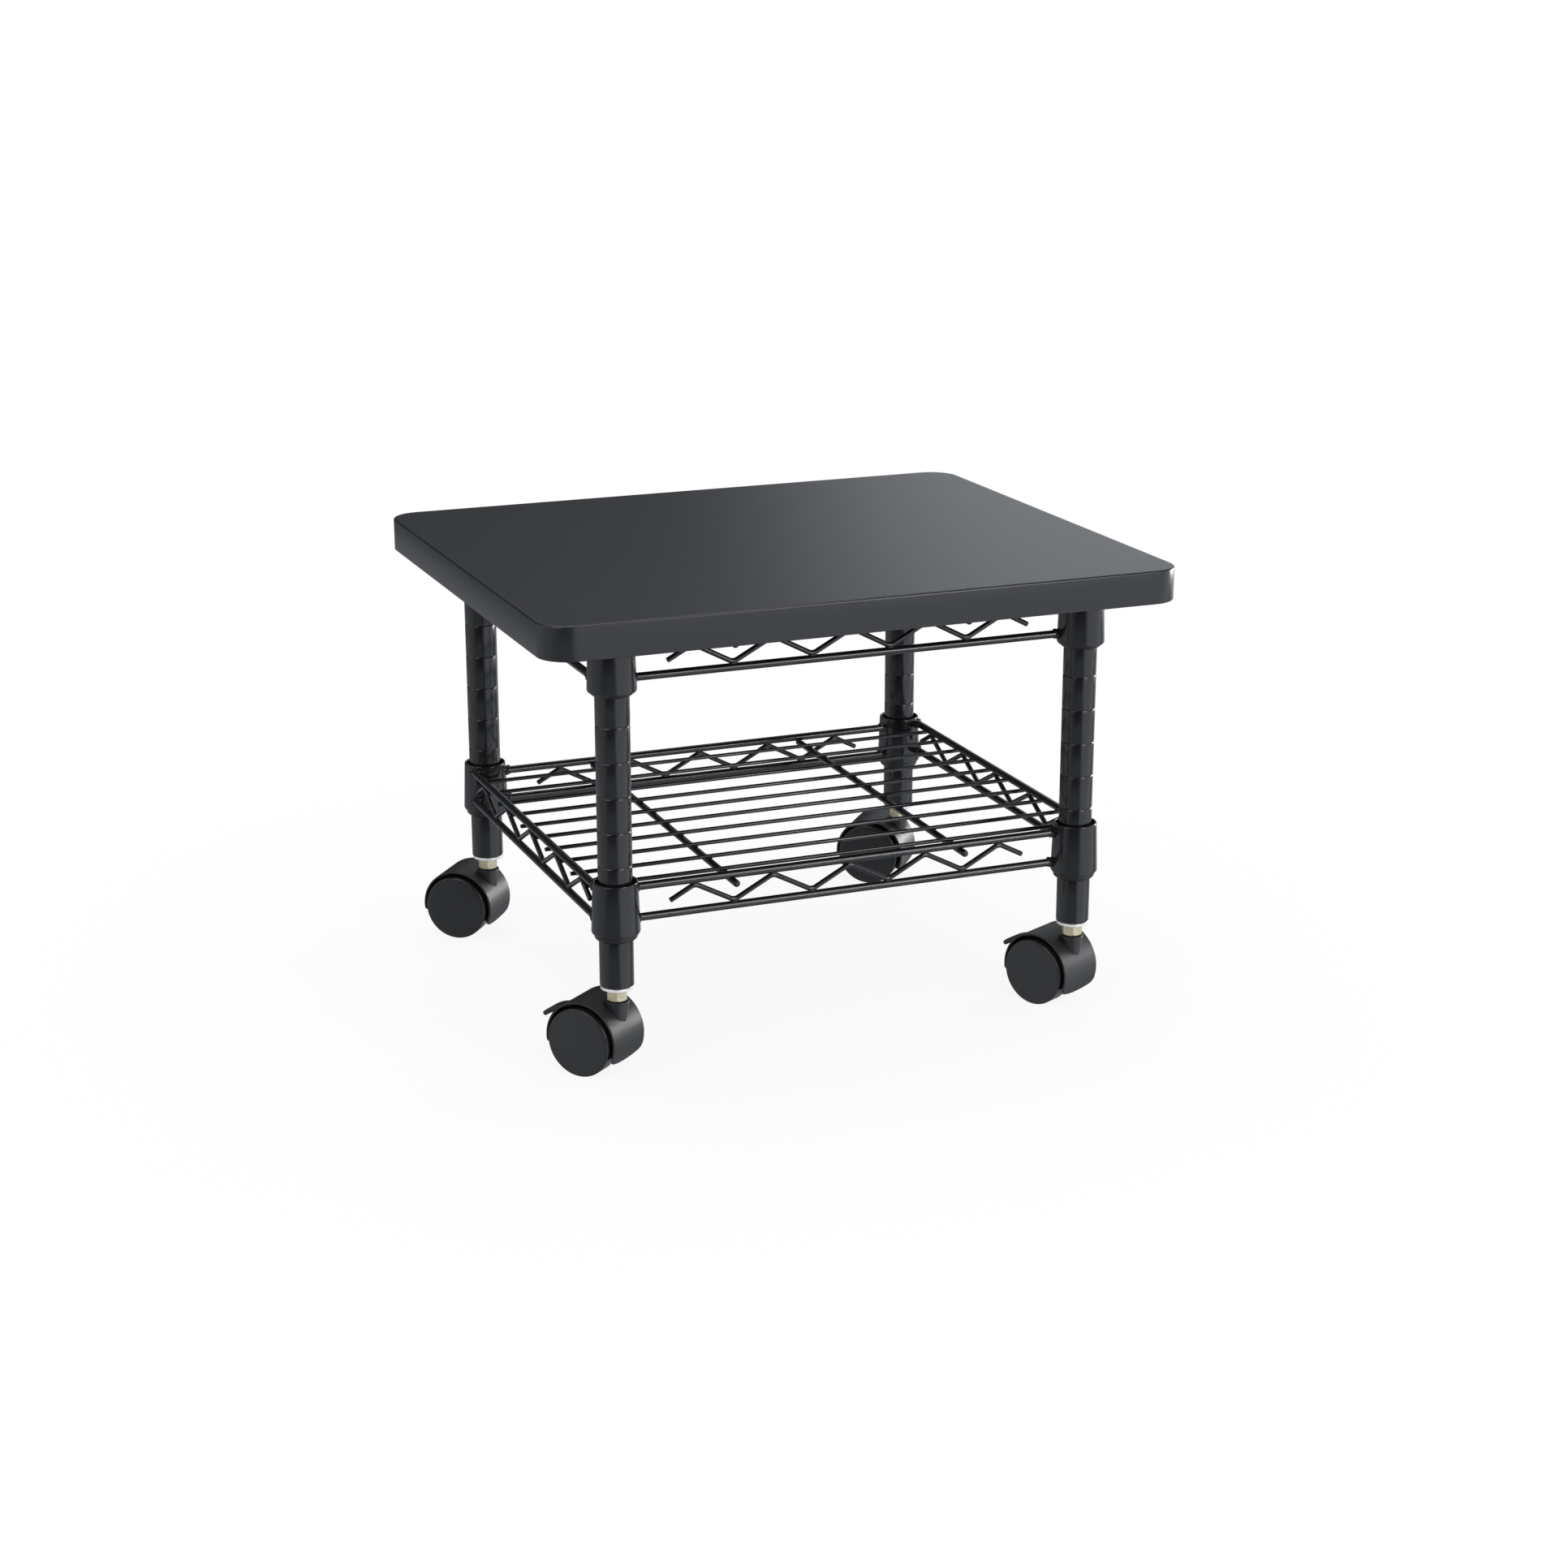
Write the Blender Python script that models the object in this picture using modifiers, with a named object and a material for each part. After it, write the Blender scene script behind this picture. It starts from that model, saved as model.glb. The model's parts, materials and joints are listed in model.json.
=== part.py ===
"""Mobile printer stand: a board on ringed tube posts, two welded wire shelves and four twin-wheel casters.

Metres, +Z up. The origin is on the floor, midway between the posts, and the front is towards -Y.
"""

import math

import bmesh
import bpy
from mathutils import Matrix

# Fits
CLEARANCE = 0.0003
WELD_SINK = 0.0003
MERGE = 0.000001

# Board
TABLE_WIDTH = 0.4826
TABLE_DEPTH = 0.4064
BOARD_THICKNESS = 0.0185
LIP_HEIGHT = 0.0060
LIP_WIDTH = 0.0200
PLAN_CORNER = 0.023
EDGE_EASE = 0.0012
CORNER_STEPS = 6

# Posts, set in from the board's edges, with grooves counted upwards from the lowest
POST_INSET_X = 0.0603
POST_INSET_Y = 0.0444
POST_DIAMETER = 0.0245
POST_WALL = 0.0012
GROOVE_PITCH = 0.0254
LOWEST_GROOVE = 0.0385
GROOVE_DEPTH = 0.0005
GROOVE_WIDTH = 0.0014
LOWER_SHELF_GROOVE = 1
UPPER_SHELF_GROOVE = 8
UPPER_SHELF_DROP = 0.0022
POST_SIDES = 16

# Corner collars and the split sleeves inside them
COLLAR_ABOVE_GROOVE = 0.0134
COLLAR_HEIGHT = 0.0386
COLLAR_FLARE = 0.0013
COLLAR_WALL = 0.0016
COLLAR_ROUNDING = 0.0012
SLEEVE_WALL = 0.0017
SLEEVE_BELOW_COLLAR = 0.0044
SLEEVE_BELOW_RIM = 0.0040
SLEEVE_CHAMFER = 0.0024
SLEEVE_SLIT = 0.0020

# Shelf wires
RAIL_DIAMETER = 0.0058
ZIGZAG_DIAMETER = 0.0038
DECK_DIAMETER = 0.0031
SUPPORT_DIAMETER = 0.0052
RAIL_SPREAD = 0.0231
SIDE_RAIL_BELOW_RIM = 0.0052
SIDE_RAIL_OUTSET = 0.0120
CROSS_RAIL_INSET = 0.0040
ZIGZAG_PITCH = 0.060
ZIGZAG_TAIL = 0.019
ZIGZAG_BEND = 0.007
DECK_OVERHANG = 0.0005
SUPPORT_OVERHANG = 0.0035
WIRE_BEVEL_STEPS = 2

# Board fixings
CLIP_THICKNESS = 0.0012
CLIP_WIDTH = 0.012
CLIP_PAD = 0.012
SCREW_DIAMETER = 0.0035
SCREW_HEAD_DIAMETER = 0.0070
SCREW_HEAD_HEIGHT = 0.0022
SCREW_IN_BOARD = 0.010
SCREW_SIDES = 10

# Casters
WHEEL_DIAMETER = 0.0508
WHEEL_WIDTH = 0.0146
WHEEL_GAP = 0.0148
WHEEL_ROUNDING = 0.0012
WHEEL_CROWN = 0.0004
WHEEL_CAP = 0.0022
WHEEL_SIDES = 24
WHEEL_PROUD = 0.0030
WHEEL_ROOM = 0.0022
TRAIL = 0.0201
HOOD_WALL = 0.0014
HOOD_LEAD = 0.0009
HOOD_LIFT = 0.0010
HOOD_STEM_SIDE_DROP = 0.0125
HOOD_TAIL_SIDE_DROP = 0.0052
HOOD_SIDES = 32
NECK_RISE = 0.0007
NECK_TOP_DIAMETER = 0.0172
NECK_FOOT_DIAMETER = 0.0124
NECK_LENGTH = 0.0200
AXLE_DIAMETER = 0.0060
HEX_ACROSS_CORNERS = 0.0162
HEX_HEIGHT = 0.0077
PIN_DIAMETER = 0.0074
PIN_LENGTH = 0.0180
THREAD_DIAMETER = 0.0080
THREAD_LENGTH = 0.0200
INSERT_FLANGE_STEP = 0.00045
INSERT_FLANGE = 0.0024
INSERT_DEPTH = 0.0160
ROUND_SIDES = 12

# Heading of each caster at rest, about +Z, where 0 trails towards -X
CASTER_HEADINGS = {
    "front_left": -51.7,
    "front_right": -64.1,
    "rear_left": -40.5,
    "rear_right": -41.0,
}
BRAKED_CASTERS = ("front_left", "front_right")

# Brake lever: a tongue that leans back from a pivot under the hood's wall and turns down to a tip
LEVER_CHEEK = 0.0008
LEVER_PIVOT_ANGLE = 50.0
LEVER_PIVOT_DEPTH = 0.0042
LEVER_THICKNESS = 0.0045
LEVER_RISE = 0.0050
LEVER_REACH = 0.0215
LEVER_LEAN = 0.0100
LEVER_SWING_ROOM = 0.0020

# Sizes worked out from those above
POST_SPACING_X = TABLE_WIDTH - 2 * POST_INSET_X
POST_SPACING_Y = TABLE_DEPTH - 2 * POST_INSET_Y
COLLAR_TOP_RADIUS = POST_DIAMETER / 2 + CLEARANCE + SLEEVE_WALL + CLEARANCE + COLLAR_WALL
DECK_PITCH = ZIGZAG_PITCH / 2
SUPPORT_PLACE = 1.5 * ZIGZAG_PITCH
CLIP_PLACE = 1.5 * ZIGZAG_PITCH
WELL_DIAMETER = WHEEL_DIAMETER + 2 * WHEEL_ROOM
HOOD_DIAMETER = WELL_DIAMETER + 2 * HOOD_WALL
HOOD_WIDTH = WHEEL_GAP + 2 * WHEEL_WIDTH - 2 * WHEEL_PROUD
LEVER_WIDTH = WHEEL_GAP - 2 * (CLEARANCE + LEVER_CHEEK + CLEARANCE)

# Heights worked out from the floor up
AXLE_HEIGHT = WHEEL_DIAMETER / 2
HOOD_HEIGHT = AXLE_HEIGHT + HOOD_LIFT
NECK_HEIGHT = HOOD_HEIGHT + HOOD_DIAMETER / 2 + NECK_RISE
HEX_BOTTOM = NECK_HEIGHT + CLEARANCE
HEX_TOP = HEX_BOTTOM + HEX_HEIGHT
FLANGE_BOTTOM = HEX_TOP + CLEARANCE
POST_BOTTOM = FLANGE_BOTTOM + INSERT_FLANGE + CLEARANCE


def groove_height(index):
    return POST_BOTTOM + LOWEST_GROOVE + index * GROOVE_PITCH


LOWER_RIM = groove_height(LOWER_SHELF_GROOVE) + COLLAR_ABOVE_GROOVE
POST_TOP = groove_height(UPPER_SHELF_GROOVE) + COLLAR_ABOVE_GROOVE
UPPER_RIM = POST_TOP - UPPER_SHELF_DROP
BOARD_UNDERSIDE = POST_TOP + CLEARANCE
BOARD_TOP = BOARD_UNDERSIDE + BOARD_THICKNESS
LIP_BOTTOM = BOARD_UNDERSIDE - LIP_HEIGHT

# Levels of one shelf, measured from the rim of its collars
SIDE_UPPER_RAIL = -SIDE_RAIL_BELOW_RIM
SIDE_LOWER_RAIL = SIDE_UPPER_RAIL - RAIL_SPREAD
DECK_LEVEL = SIDE_UPPER_RAIL - (RAIL_DIAMETER + DECK_DIAMETER) / 2 - CLEARANCE
SUPPORT_LEVEL = DECK_LEVEL - (DECK_DIAMETER + SUPPORT_DIAMETER) / 2 + WELD_SINK
CROSS_UPPER_RAIL = SUPPORT_LEVEL + (SUPPORT_DIAMETER + RAIL_DIAMETER) / 2 + CLEARANCE
CROSS_LOWER_RAIL = CROSS_UPPER_RAIL - RAIL_SPREAD

CORNERS = {
    "front_left": (-1, -1),
    "front_right": (1, -1),
    "rear_left": (-1, 1),
    "rear_right": (1, 1),
}


def corner_place(corner):
    sign_x, sign_y = CORNERS[corner]
    return sign_x * POST_SPACING_X / 2, sign_y * POST_SPACING_Y / 2


# Collections and materials


def clear_scene():
    for obj in list(bpy.data.objects):
        bpy.data.objects.remove(obj, do_unlink=True)


def new_collection(name):
    collection = bpy.data.collections.new(name)
    bpy.context.scene.collection.children.link(collection)
    return collection


def new_material(name, colour, roughness, metallic=0.0):
    material = bpy.data.materials.new(name)
    material.use_nodes = True
    shader = material.node_tree.nodes["Principled BSDF"]
    shader.inputs["Base Color"].default_value = (*colour, 1.0)
    shader.inputs["Roughness"].default_value = roughness
    shader.inputs["Metallic"].default_value = metallic
    return material


clear_scene()
STAND = new_collection("mobile_printer_stand")
CUTTERS = new_collection("cutters")
CUTTERS.hide_render = True

LAMINATE = new_material("charcoal laminate", (0.030, 0.031, 0.034), 0.45)
POWDER_COAT = new_material("gloss black powder coat", (0.012, 0.012, 0.013), 0.25)
SLEEVE_PLASTIC = new_material("black polypropylene", (0.015, 0.015, 0.016), 0.45)
NYLON = new_material("textured black nylon", (0.020, 0.020, 0.022), 0.60)
WHEEL_PLASTIC = new_material("smooth black nylon", (0.016, 0.016, 0.018), 0.42)
BRIGHT_ZINC = new_material("bright zinc plate", (0.72, 0.73, 0.75), 0.28, 1.0)
YELLOW_ZINC = new_material("yellow zinc plate", (0.60, 0.52, 0.27), 0.35, 1.0)
STEEL = new_material("plain steel", (0.45, 0.45, 0.46), 0.35, 1.0)


# Shape helpers


def cutter_object(mesh, matrix=None):
    """A helper object for a mesh, drawn as wires and left out of renders."""
    obj = bpy.data.objects.new("cutter", mesh)
    obj.display_type = "WIRE"
    obj.hide_render = True
    if matrix is not None:
        obj.matrix_world = matrix
    CUTTERS.objects.link(obj)
    return obj


def baked(obj):
    """The evaluated mesh of a helper object in world space, with doubles merged. The helper is removed."""
    bpy.context.view_layer.update()
    graph = bpy.context.evaluated_depsgraph_get()
    mesh = bpy.data.meshes.new_from_object(obj.evaluated_get(graph))
    mesh.transform(obj.matrix_world)
    bpy.data.objects.remove(obj, do_unlink=True)
    shape = bmesh.new()
    shape.from_mesh(mesh)
    bmesh.ops.remove_doubles(shape, verts=shape.verts, dist=MERGE)
    shape.to_mesh(mesh)
    shape.free()
    return mesh


def turned(profile, sides, closed=False):
    """A (radius, height) profile turned about Z. Its outer side runs from top to bottom."""
    mesh = bpy.data.meshes.new("profile")
    last = len(profile) - 1
    edges = [(i, i + 1) for i in range(last)]
    if closed:
        edges.append((last, 0))
    mesh.from_pydata([(radius, 0.0, height) for radius, height in profile], edges, [])
    obj = cutter_object(mesh)
    screw = obj.modifiers.new("turn", "SCREW")
    screw.steps = screw.render_steps = sides
    screw.use_merge_vertices = True
    screw.merge_threshold = MERGE
    return baked(obj)


def wire(path, diameter):
    """A round wire with flat cut ends along a path of points."""
    curve = bpy.data.curves.new("wire", "CURVE")
    curve.dimensions = "3D"
    curve.bevel_depth = diameter / 2
    curve.bevel_resolution = WIRE_BEVEL_STEPS
    curve.use_fill_caps = True
    spline = curve.splines.new("POLY")
    spline.points.add(len(path) - 1)
    for point, place in zip(spline.points, path):
        point.co = (*place, 1.0)
    return baked(cutter_object(curve))


def plate(outline, thickness):
    """A flat outline of (x, z) points with its thickness along Y, centred on Y = 0."""
    curve = bpy.data.curves.new("outline", "CURVE")
    curve.dimensions = "2D"
    curve.fill_mode = "BOTH"
    curve.extrude = thickness / 2
    spline = curve.splines.new("POLY")
    spline.points.add(len(outline) - 1)
    spline.use_cyclic_u = True
    for point, (across, up) in zip(spline.points, outline):
        point.co = (across, up, 0.0, 1.0)
    return baked(cutter_object(curve, Matrix.Rotation(math.pi / 2, 4, "X")))


def moved(mesh, x=0.0, y=0.0, z=0.0):
    copy = mesh.copy()
    copy.transform(Matrix.Translation((x, y, z)))
    return copy


def cylinder(diameter, low, high, sides, foot_diameter=None):
    """A round bar about Z from low to high, tapered where its foot has another diameter."""
    shape = bmesh.new()
    bmesh.ops.create_cone(
        shape,
        cap_ends=True,
        segments=sides,
        radius1=(foot_diameter or diameter) / 2,
        radius2=diameter / 2,
        depth=high - low,
        matrix=Matrix.Translation((0.0, 0.0, (low + high) / 2)),
    )
    mesh = bpy.data.meshes.new("cylinder")
    shape.to_mesh(mesh)
    shape.free()
    return mesh


def lying(mesh, x=0.0, z=0.0):
    """A mesh about Z turned to lie about an axis along Y through x, z."""
    mesh.transform(Matrix.Translation((x, 0.0, z)) @ Matrix.Rotation(math.pi / 2, 4, "X"))
    return mesh


def box(size_x, size_y, size_z, matrix):
    shape = bmesh.new()
    scale = Matrix.Diagonal((size_x, size_y, size_z, 1.0))
    bmesh.ops.create_cube(shape, size=1.0, matrix=matrix @ scale)
    mesh = bpy.data.meshes.new("box")
    shape.to_mesh(mesh)
    shape.free()
    return mesh


def combined(mesh, others, operation):
    """The mesh joined with, or cut by, the others."""
    obj = cutter_object(mesh)
    group = bpy.data.collections.new("operands")
    bpy.context.scene.collection.children.link(group)
    helpers = []
    for other in others:
        helper = cutter_object(other)
        group.objects.link(helper)
        helpers.append(helper)
    boolean = obj.modifiers.new(operation.lower(), "BOOLEAN")
    boolean.operation = operation
    boolean.operand_type = "COLLECTION"
    boolean.collection = group
    result = baked(obj)
    for helper in helpers:
        bpy.data.objects.remove(helper, do_unlink=True)
    bpy.data.collections.remove(group)
    return result


def add_piece(name, mesh, material, location=(0.0, 0.0, 0.0), turn=0.0, parent=None):
    """A named piece of the stand, placed by its location and a turn about Z."""
    if not mesh.materials:
        mesh.materials.append(material)
    mesh.shade_smooth()
    mesh.set_sharp_from_angle(angle=math.radians(35))
    obj = bpy.data.objects.new(name, mesh)
    obj.location = location
    obj.rotation_euler = (0.0, 0.0, turn)
    obj.parent = parent
    STAND.objects.link(obj)
    return obj


def rounded_rectangle(width, depth, radius):
    """Outline points of a rectangle with round corners, counter-clockwise."""
    points = []
    for quarter, (sign_x, sign_y) in enumerate(((1, 1), (-1, 1), (-1, -1), (1, -1))):
        centre_x = sign_x * (width / 2 - radius)
        centre_y = sign_y * (depth / 2 - radius)
        for step in range(CORNER_STEPS + 1):
            angle = math.pi / 2 * (quarter + step / CORNER_STEPS)
            points.append((centre_x + radius * math.cos(angle), centre_y + radius * math.sin(angle)))
    return points


# Board and its fixings


def flat_slab(outline, low, high):
    """An outline of (x, y) points made solid between two heights."""
    mesh = plate(outline, high - low)
    mesh.transform(Matrix.Translation((0.0, 0.0, (low + high) / 2)) @ Matrix.Rotation(-math.pi / 2, 4, "X"))
    return mesh


def eased(mesh, width):
    """The mesh with its sharp edges cut back by a small bevel."""
    obj = cutter_object(mesh)
    bevel = obj.modifiers.new("ease", "BEVEL")
    bevel.width = width
    bevel.segments = 1
    bevel.limit_method = "ANGLE"
    bevel.angle_limit = math.radians(60)
    return baked(obj)


def clip_places():
    """Name, rail x, y and turn of each clip on the upper shelf's side rails."""
    rail_x = POST_SPACING_X / 2 + SIDE_RAIL_OUTSET
    for side, sign_x, turn in (("left", -1, 0.0), ("right", 1, math.pi)):
        for end, sign_y in (("front", -1), ("rear", 1)):
            yield f"{side}_{end}", sign_x * rail_x, sign_y * CLIP_PLACE, turn


def screw_offset():
    """Distance of a clip's screw from the rail's centre."""
    return (RAIL_DIAMETER / 2 + CLEARANCE) + CLIP_THICKNESS + CLIP_PAD / 2


def build_tabletop():
    outline = rounded_rectangle(TABLE_WIDTH, TABLE_DEPTH, PLAN_CORNER)
    slab = eased(flat_slab(outline, LIP_BOTTOM, BOARD_TOP), EDGE_EASE)
    recess_width = TABLE_WIDTH - 2 * LIP_WIDTH
    recess_depth = TABLE_DEPTH - 2 * LIP_WIDTH
    recess_corner = max(PLAN_CORNER - LIP_WIDTH, EDGE_EASE)
    recess = rounded_rectangle(recess_width, recess_depth, recess_corner)
    slab = combined(slab, [flat_slab(recess, LIP_BOTTOM - LIP_HEIGHT, BOARD_UNDERSIDE)], "DIFFERENCE")
    pilot_top = BOARD_UNDERSIDE + SCREW_IN_BOARD + CLEARANCE
    pilot = cylinder(SCREW_DIAMETER + 2 * CLEARANCE, LIP_BOTTOM, pilot_top, SCREW_SIDES)
    holes = []
    for _, rail_x, y, turn in clip_places():
        holes.append(moved(pilot, rail_x + math.cos(turn) * screw_offset(), y))
    add_piece("tabletop", combined(slab, holes, "DIFFERENCE"), LAMINATE)


def arc(radius, start, stop, steps):
    """Points of a circle about the origin between two angles in degrees."""
    points = []
    for step in range(steps + 1):
        angle = math.radians(start + (stop - start) * step / steps)
        points.append((radius * math.cos(angle), radius * math.sin(angle)))
    return points


def build_clips():
    rail_height = UPPER_RIM + SIDE_UPPER_RAIL
    inner = RAIL_DIAMETER / 2 + CLEARANCE
    outer = inner + CLIP_THICKNESS
    pad_top = BOARD_UNDERSIDE - CLEARANCE - rail_height
    pad_bottom = pad_top - CLIP_THICKNESS
    strap = arc(outer, 180, 360, 8) + [(outer, pad_bottom), (outer + CLIP_PAD, pad_bottom)]
    strap += [(outer + CLIP_PAD, pad_top), (inner, pad_top)] + arc(inner, 360, 180, 8)
    hole = cylinder(SCREW_DIAMETER + 2 * CLEARANCE, pad_bottom - CLIP_PAD, pad_top + CLIP_PAD, SCREW_SIDES)
    clip = combined(plate(strap, CLIP_WIDTH), [moved(hole, screw_offset())], "DIFFERENCE")
    head_top = pad_bottom - CLEARANCE
    head_bottom = head_top - SCREW_HEAD_HEIGHT
    shank = SCREW_DIAMETER / 2
    head = SCREW_HEAD_DIAMETER / 2
    tip = BOARD_UNDERSIDE - rail_height + SCREW_IN_BOARD
    screw = turned(
        [
            (0.0, tip),
            (shank / 2, tip),
            (shank, tip - SCREW_DIAMETER),
            (shank, head_top),
            (head, head_top),
            (head, head_top - SCREW_HEAD_HEIGHT / 2),
            (head / 2, head_bottom),
            (0.0, head_bottom),
        ],
        SCREW_SIDES,
    )
    for name, rail_x, y, turn in clip_places():
        add_piece(f"table_clip_{name}", clip, POWDER_COAT, (rail_x, y, rail_height), turn)
        screw_x = rail_x + math.cos(turn) * screw_offset()
        add_piece(f"table_screw_{name}", screw, BRIGHT_ZINC, (screw_x, y, rail_height), turn)


# Posts and what is in their ends


def build_posts():
    outer = POST_DIAMETER / 2
    profile = [(outer, POST_TOP)]
    for index in reversed(range(UPPER_SHELF_GROOVE + 1)):
        height = groove_height(index)
        profile.append((outer, height + GROOVE_WIDTH / 2))
        profile.append((outer - GROOVE_DEPTH, height))
        profile.append((outer, height - GROOVE_WIDTH / 2))
    profile += [(outer, POST_BOTTOM), (outer - POST_WALL, POST_BOTTOM), (outer - POST_WALL, POST_TOP)]
    post = turned(profile, POST_SIDES, closed=True)
    for corner in CORNERS:
        add_piece(f"post_{corner}", post, POWDER_COAT, (*corner_place(corner), 0.0))


def build_inserts():
    flange = POST_DIAMETER / 2 - INSERT_FLANGE_STEP
    plug = POST_DIAMETER / 2 - POST_WALL - CLEARANCE
    bore = THREAD_DIAMETER / 2 + CLEARANCE
    flange_top = FLANGE_BOTTOM + INSERT_FLANGE
    plug_top = flange_top + INSERT_DEPTH
    profile = [
        (bore, plug_top),
        (plug, plug_top),
        (plug, flange_top),
        (flange, flange_top),
        (flange, FLANGE_BOTTOM),
        (bore, FLANGE_BOTTOM),
    ]
    insert = turned(profile, POST_SIDES, closed=True)
    for corner in CORNERS:
        add_piece(f"post_insert_{corner}", insert, BRIGHT_ZINC, (*corner_place(corner), 0.0))


def build_stems():
    hexagon = cylinder(HEX_ACROSS_CORNERS, HEX_BOTTOM, HEX_TOP, 6)
    thread = cylinder(THREAD_DIAMETER, HEX_TOP - HEX_HEIGHT / 2, HEX_TOP + THREAD_LENGTH, ROUND_SIDES)
    pin = cylinder(PIN_DIAMETER, HEX_BOTTOM - PIN_LENGTH, HEX_BOTTOM + HEX_HEIGHT / 3, ROUND_SIDES)
    stem = combined(hexagon, [thread, pin], "UNION")
    for corner in CORNERS:
        add_piece(f"caster_stem_{corner}", stem, YELLOW_ZINC, (*corner_place(corner), 0.0))


# Wire shelves, modelled about the rim of their collars at height 0


def collar_radius(drop):
    """Outer radius of a collar at a distance below its rim."""
    return COLLAR_TOP_RADIUS + COLLAR_FLARE * drop / COLLAR_HEIGHT


def bore_radius(drop):
    return collar_radius(drop) - COLLAR_WALL


def collar_plug():
    """A collar before its bore is cut: a cone with a round foot."""
    foot = COLLAR_HEIGHT - COLLAR_ROUNDING
    profile = [
        (0.0, 0.0),
        (collar_radius(0.0), 0.0),
        (collar_radius(foot), -foot),
        (collar_radius(COLLAR_HEIGHT) - COLLAR_ROUNDING / 3, -COLLAR_HEIGHT + COLLAR_ROUNDING / 3),
        (collar_radius(COLLAR_HEIGHT) - COLLAR_ROUNDING, -COLLAR_HEIGHT),
        (0.0, -COLLAR_HEIGHT),
    ]
    return turned(profile, POST_SIDES)


def collar_bore():
    """The tapered bore, longer than the collar at both ends."""
    above = SLEEVE_BELOW_RIM
    below = COLLAR_HEIGHT + SLEEVE_BELOW_COLLAR
    return cylinder(2 * bore_radius(-above), -below, above, POST_SIDES, 2 * bore_radius(below))


def zigzag_profile(reach):
    """(along, height) points of a zigzag that fits within a reach to both sides of its middle."""
    half_pitch = ZIGZAG_PITCH / 2
    tops = 1 + 2 * math.floor((reach - ZIGZAG_TAIL) / ZIGZAG_PITCH)
    span = RAIL_SPREAD - RAIL_DIAMETER - ZIGZAG_DIAMETER + 2 * WELD_SINK
    slope = span / half_pitch
    bend = ZIGZAG_BEND * math.sin(math.atan(slope))
    first = -(tops - 1) * half_pitch
    rise = span / 2 + bend * slope
    points = [(first - ZIGZAG_TAIL, rise - ZIGZAG_TAIL * slope)]
    for index in range(2 * tops - 1):
        along = first + index * half_pitch
        height = span / 2 if index % 2 == 0 else -span / 2
        points += [(along - bend, height), (along + bend, height)]
    points.append((-points[0][0], points[0][1]))
    return points


def side_end():
    """The left end of a shelf: both side rails, their zigzag and the two collars they are welded to."""
    rail_x = -(POST_SPACING_X / 2 + SIDE_RAIL_OUTSET)
    post_x = -POST_SPACING_X / 2
    post_y = POST_SPACING_Y / 2
    pieces = []
    for level in (SIDE_UPPER_RAIL, SIDE_LOWER_RAIL):
        pieces.append(wire([(rail_x, -post_y, level), (rail_x, post_y, level)], RAIL_DIAMETER))
    middle = (SIDE_UPPER_RAIL + SIDE_LOWER_RAIL) / 2
    reach = post_y - collar_radius(COLLAR_HEIGHT)
    path = [(rail_x, along, middle + height) for along, height in zigzag_profile(reach)]
    pieces.append(wire(path, ZIGZAG_DIAMETER))
    pieces += [moved(collar_plug(), post_x, sign * post_y) for sign in (-1, 1)]
    welded = combined(pieces[0], pieces[1:], "UNION")
    bores = [moved(collar_bore(), post_x, sign * post_y) for sign in (-1, 1)]
    return combined(welded, bores, "DIFFERENCE")


def cross_truss():
    """The front of a shelf: its upper and lower rail with the zigzag between them."""
    rail_y = -(POST_SPACING_Y / 2 - CROSS_RAIL_INSET)
    reach = POST_SPACING_X / 2 - collar_radius(COLLAR_HEIGHT) - CLEARANCE
    pieces = []
    for level in (CROSS_UPPER_RAIL, CROSS_LOWER_RAIL):
        pieces.append(wire([(-reach, rail_y, level), (reach, rail_y, level)], RAIL_DIAMETER))
    middle = (CROSS_UPPER_RAIL + CROSS_LOWER_RAIL) / 2
    path = [(along, rail_y, middle + height) for along, height in zigzag_profile(reach)]
    pieces.append(wire(path, ZIGZAG_DIAMETER))
    return combined(pieces[0], pieces[1:], "UNION")


def deck():
    """The deck wires along X with the two supports welded under them along Y."""
    reach_x = POST_SPACING_X / 2 + SIDE_RAIL_OUTSET + RAIL_DIAMETER / 2 + DECK_OVERHANG
    rail_y = POST_SPACING_Y / 2 - CROSS_RAIL_INSET
    reach_y = rail_y + RAIL_DIAMETER / 2 + SUPPORT_OVERHANG
    pieces = []
    for x in (-SUPPORT_PLACE, SUPPORT_PLACE):
        pieces.append(wire([(x, -reach_y, SUPPORT_LEVEL), (x, reach_y, SUPPORT_LEVEL)], SUPPORT_DIAMETER))
    room = rail_y - (RAIL_DIAMETER + DECK_DIAMETER) / 2 - CLEARANCE
    wires_each_side = math.floor(room / DECK_PITCH + 0.5)
    for index in range(-wires_each_side, wires_each_side):
        y = (index + 0.5) * DECK_PITCH
        pieces.append(wire([(-reach_x, y, DECK_LEVEL), (reach_x, y, DECK_LEVEL)], DECK_DIAMETER))
    return combined(pieces[0], pieces[1:], "UNION")


def split_sleeve():
    """A tapered sleeve between post and collar, open along one slit, with a lip below the collar."""
    bore = POST_DIAMETER / 2 + CLEARANCE
    top = -SLEEVE_BELOW_RIM
    bottom = -COLLAR_HEIGHT - SLEEVE_BELOW_COLLAR
    foot = bore_radius(COLLAR_HEIGHT) - CLEARANCE
    profile = [
        (bore, top),
        (bore_radius(SLEEVE_BELOW_RIM) - CLEARANCE, top),
        (foot, -COLLAR_HEIGHT),
        (foot, bottom + SLEEVE_CHAMFER),
        (foot - SLEEVE_CHAMFER, bottom),
        (bore, bottom),
    ]
    ring = turned(profile, POST_SIDES, closed=True)
    reach = 2 * collar_radius(COLLAR_HEIGHT)
    middle = Matrix.Translation((reach / 2, 0.0, -COLLAR_HEIGHT / 2))
    slit = box(reach, SLEEVE_SLIT, 2 * COLLAR_HEIGHT, middle)
    return combined(ring, [slit], "DIFFERENCE")


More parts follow.
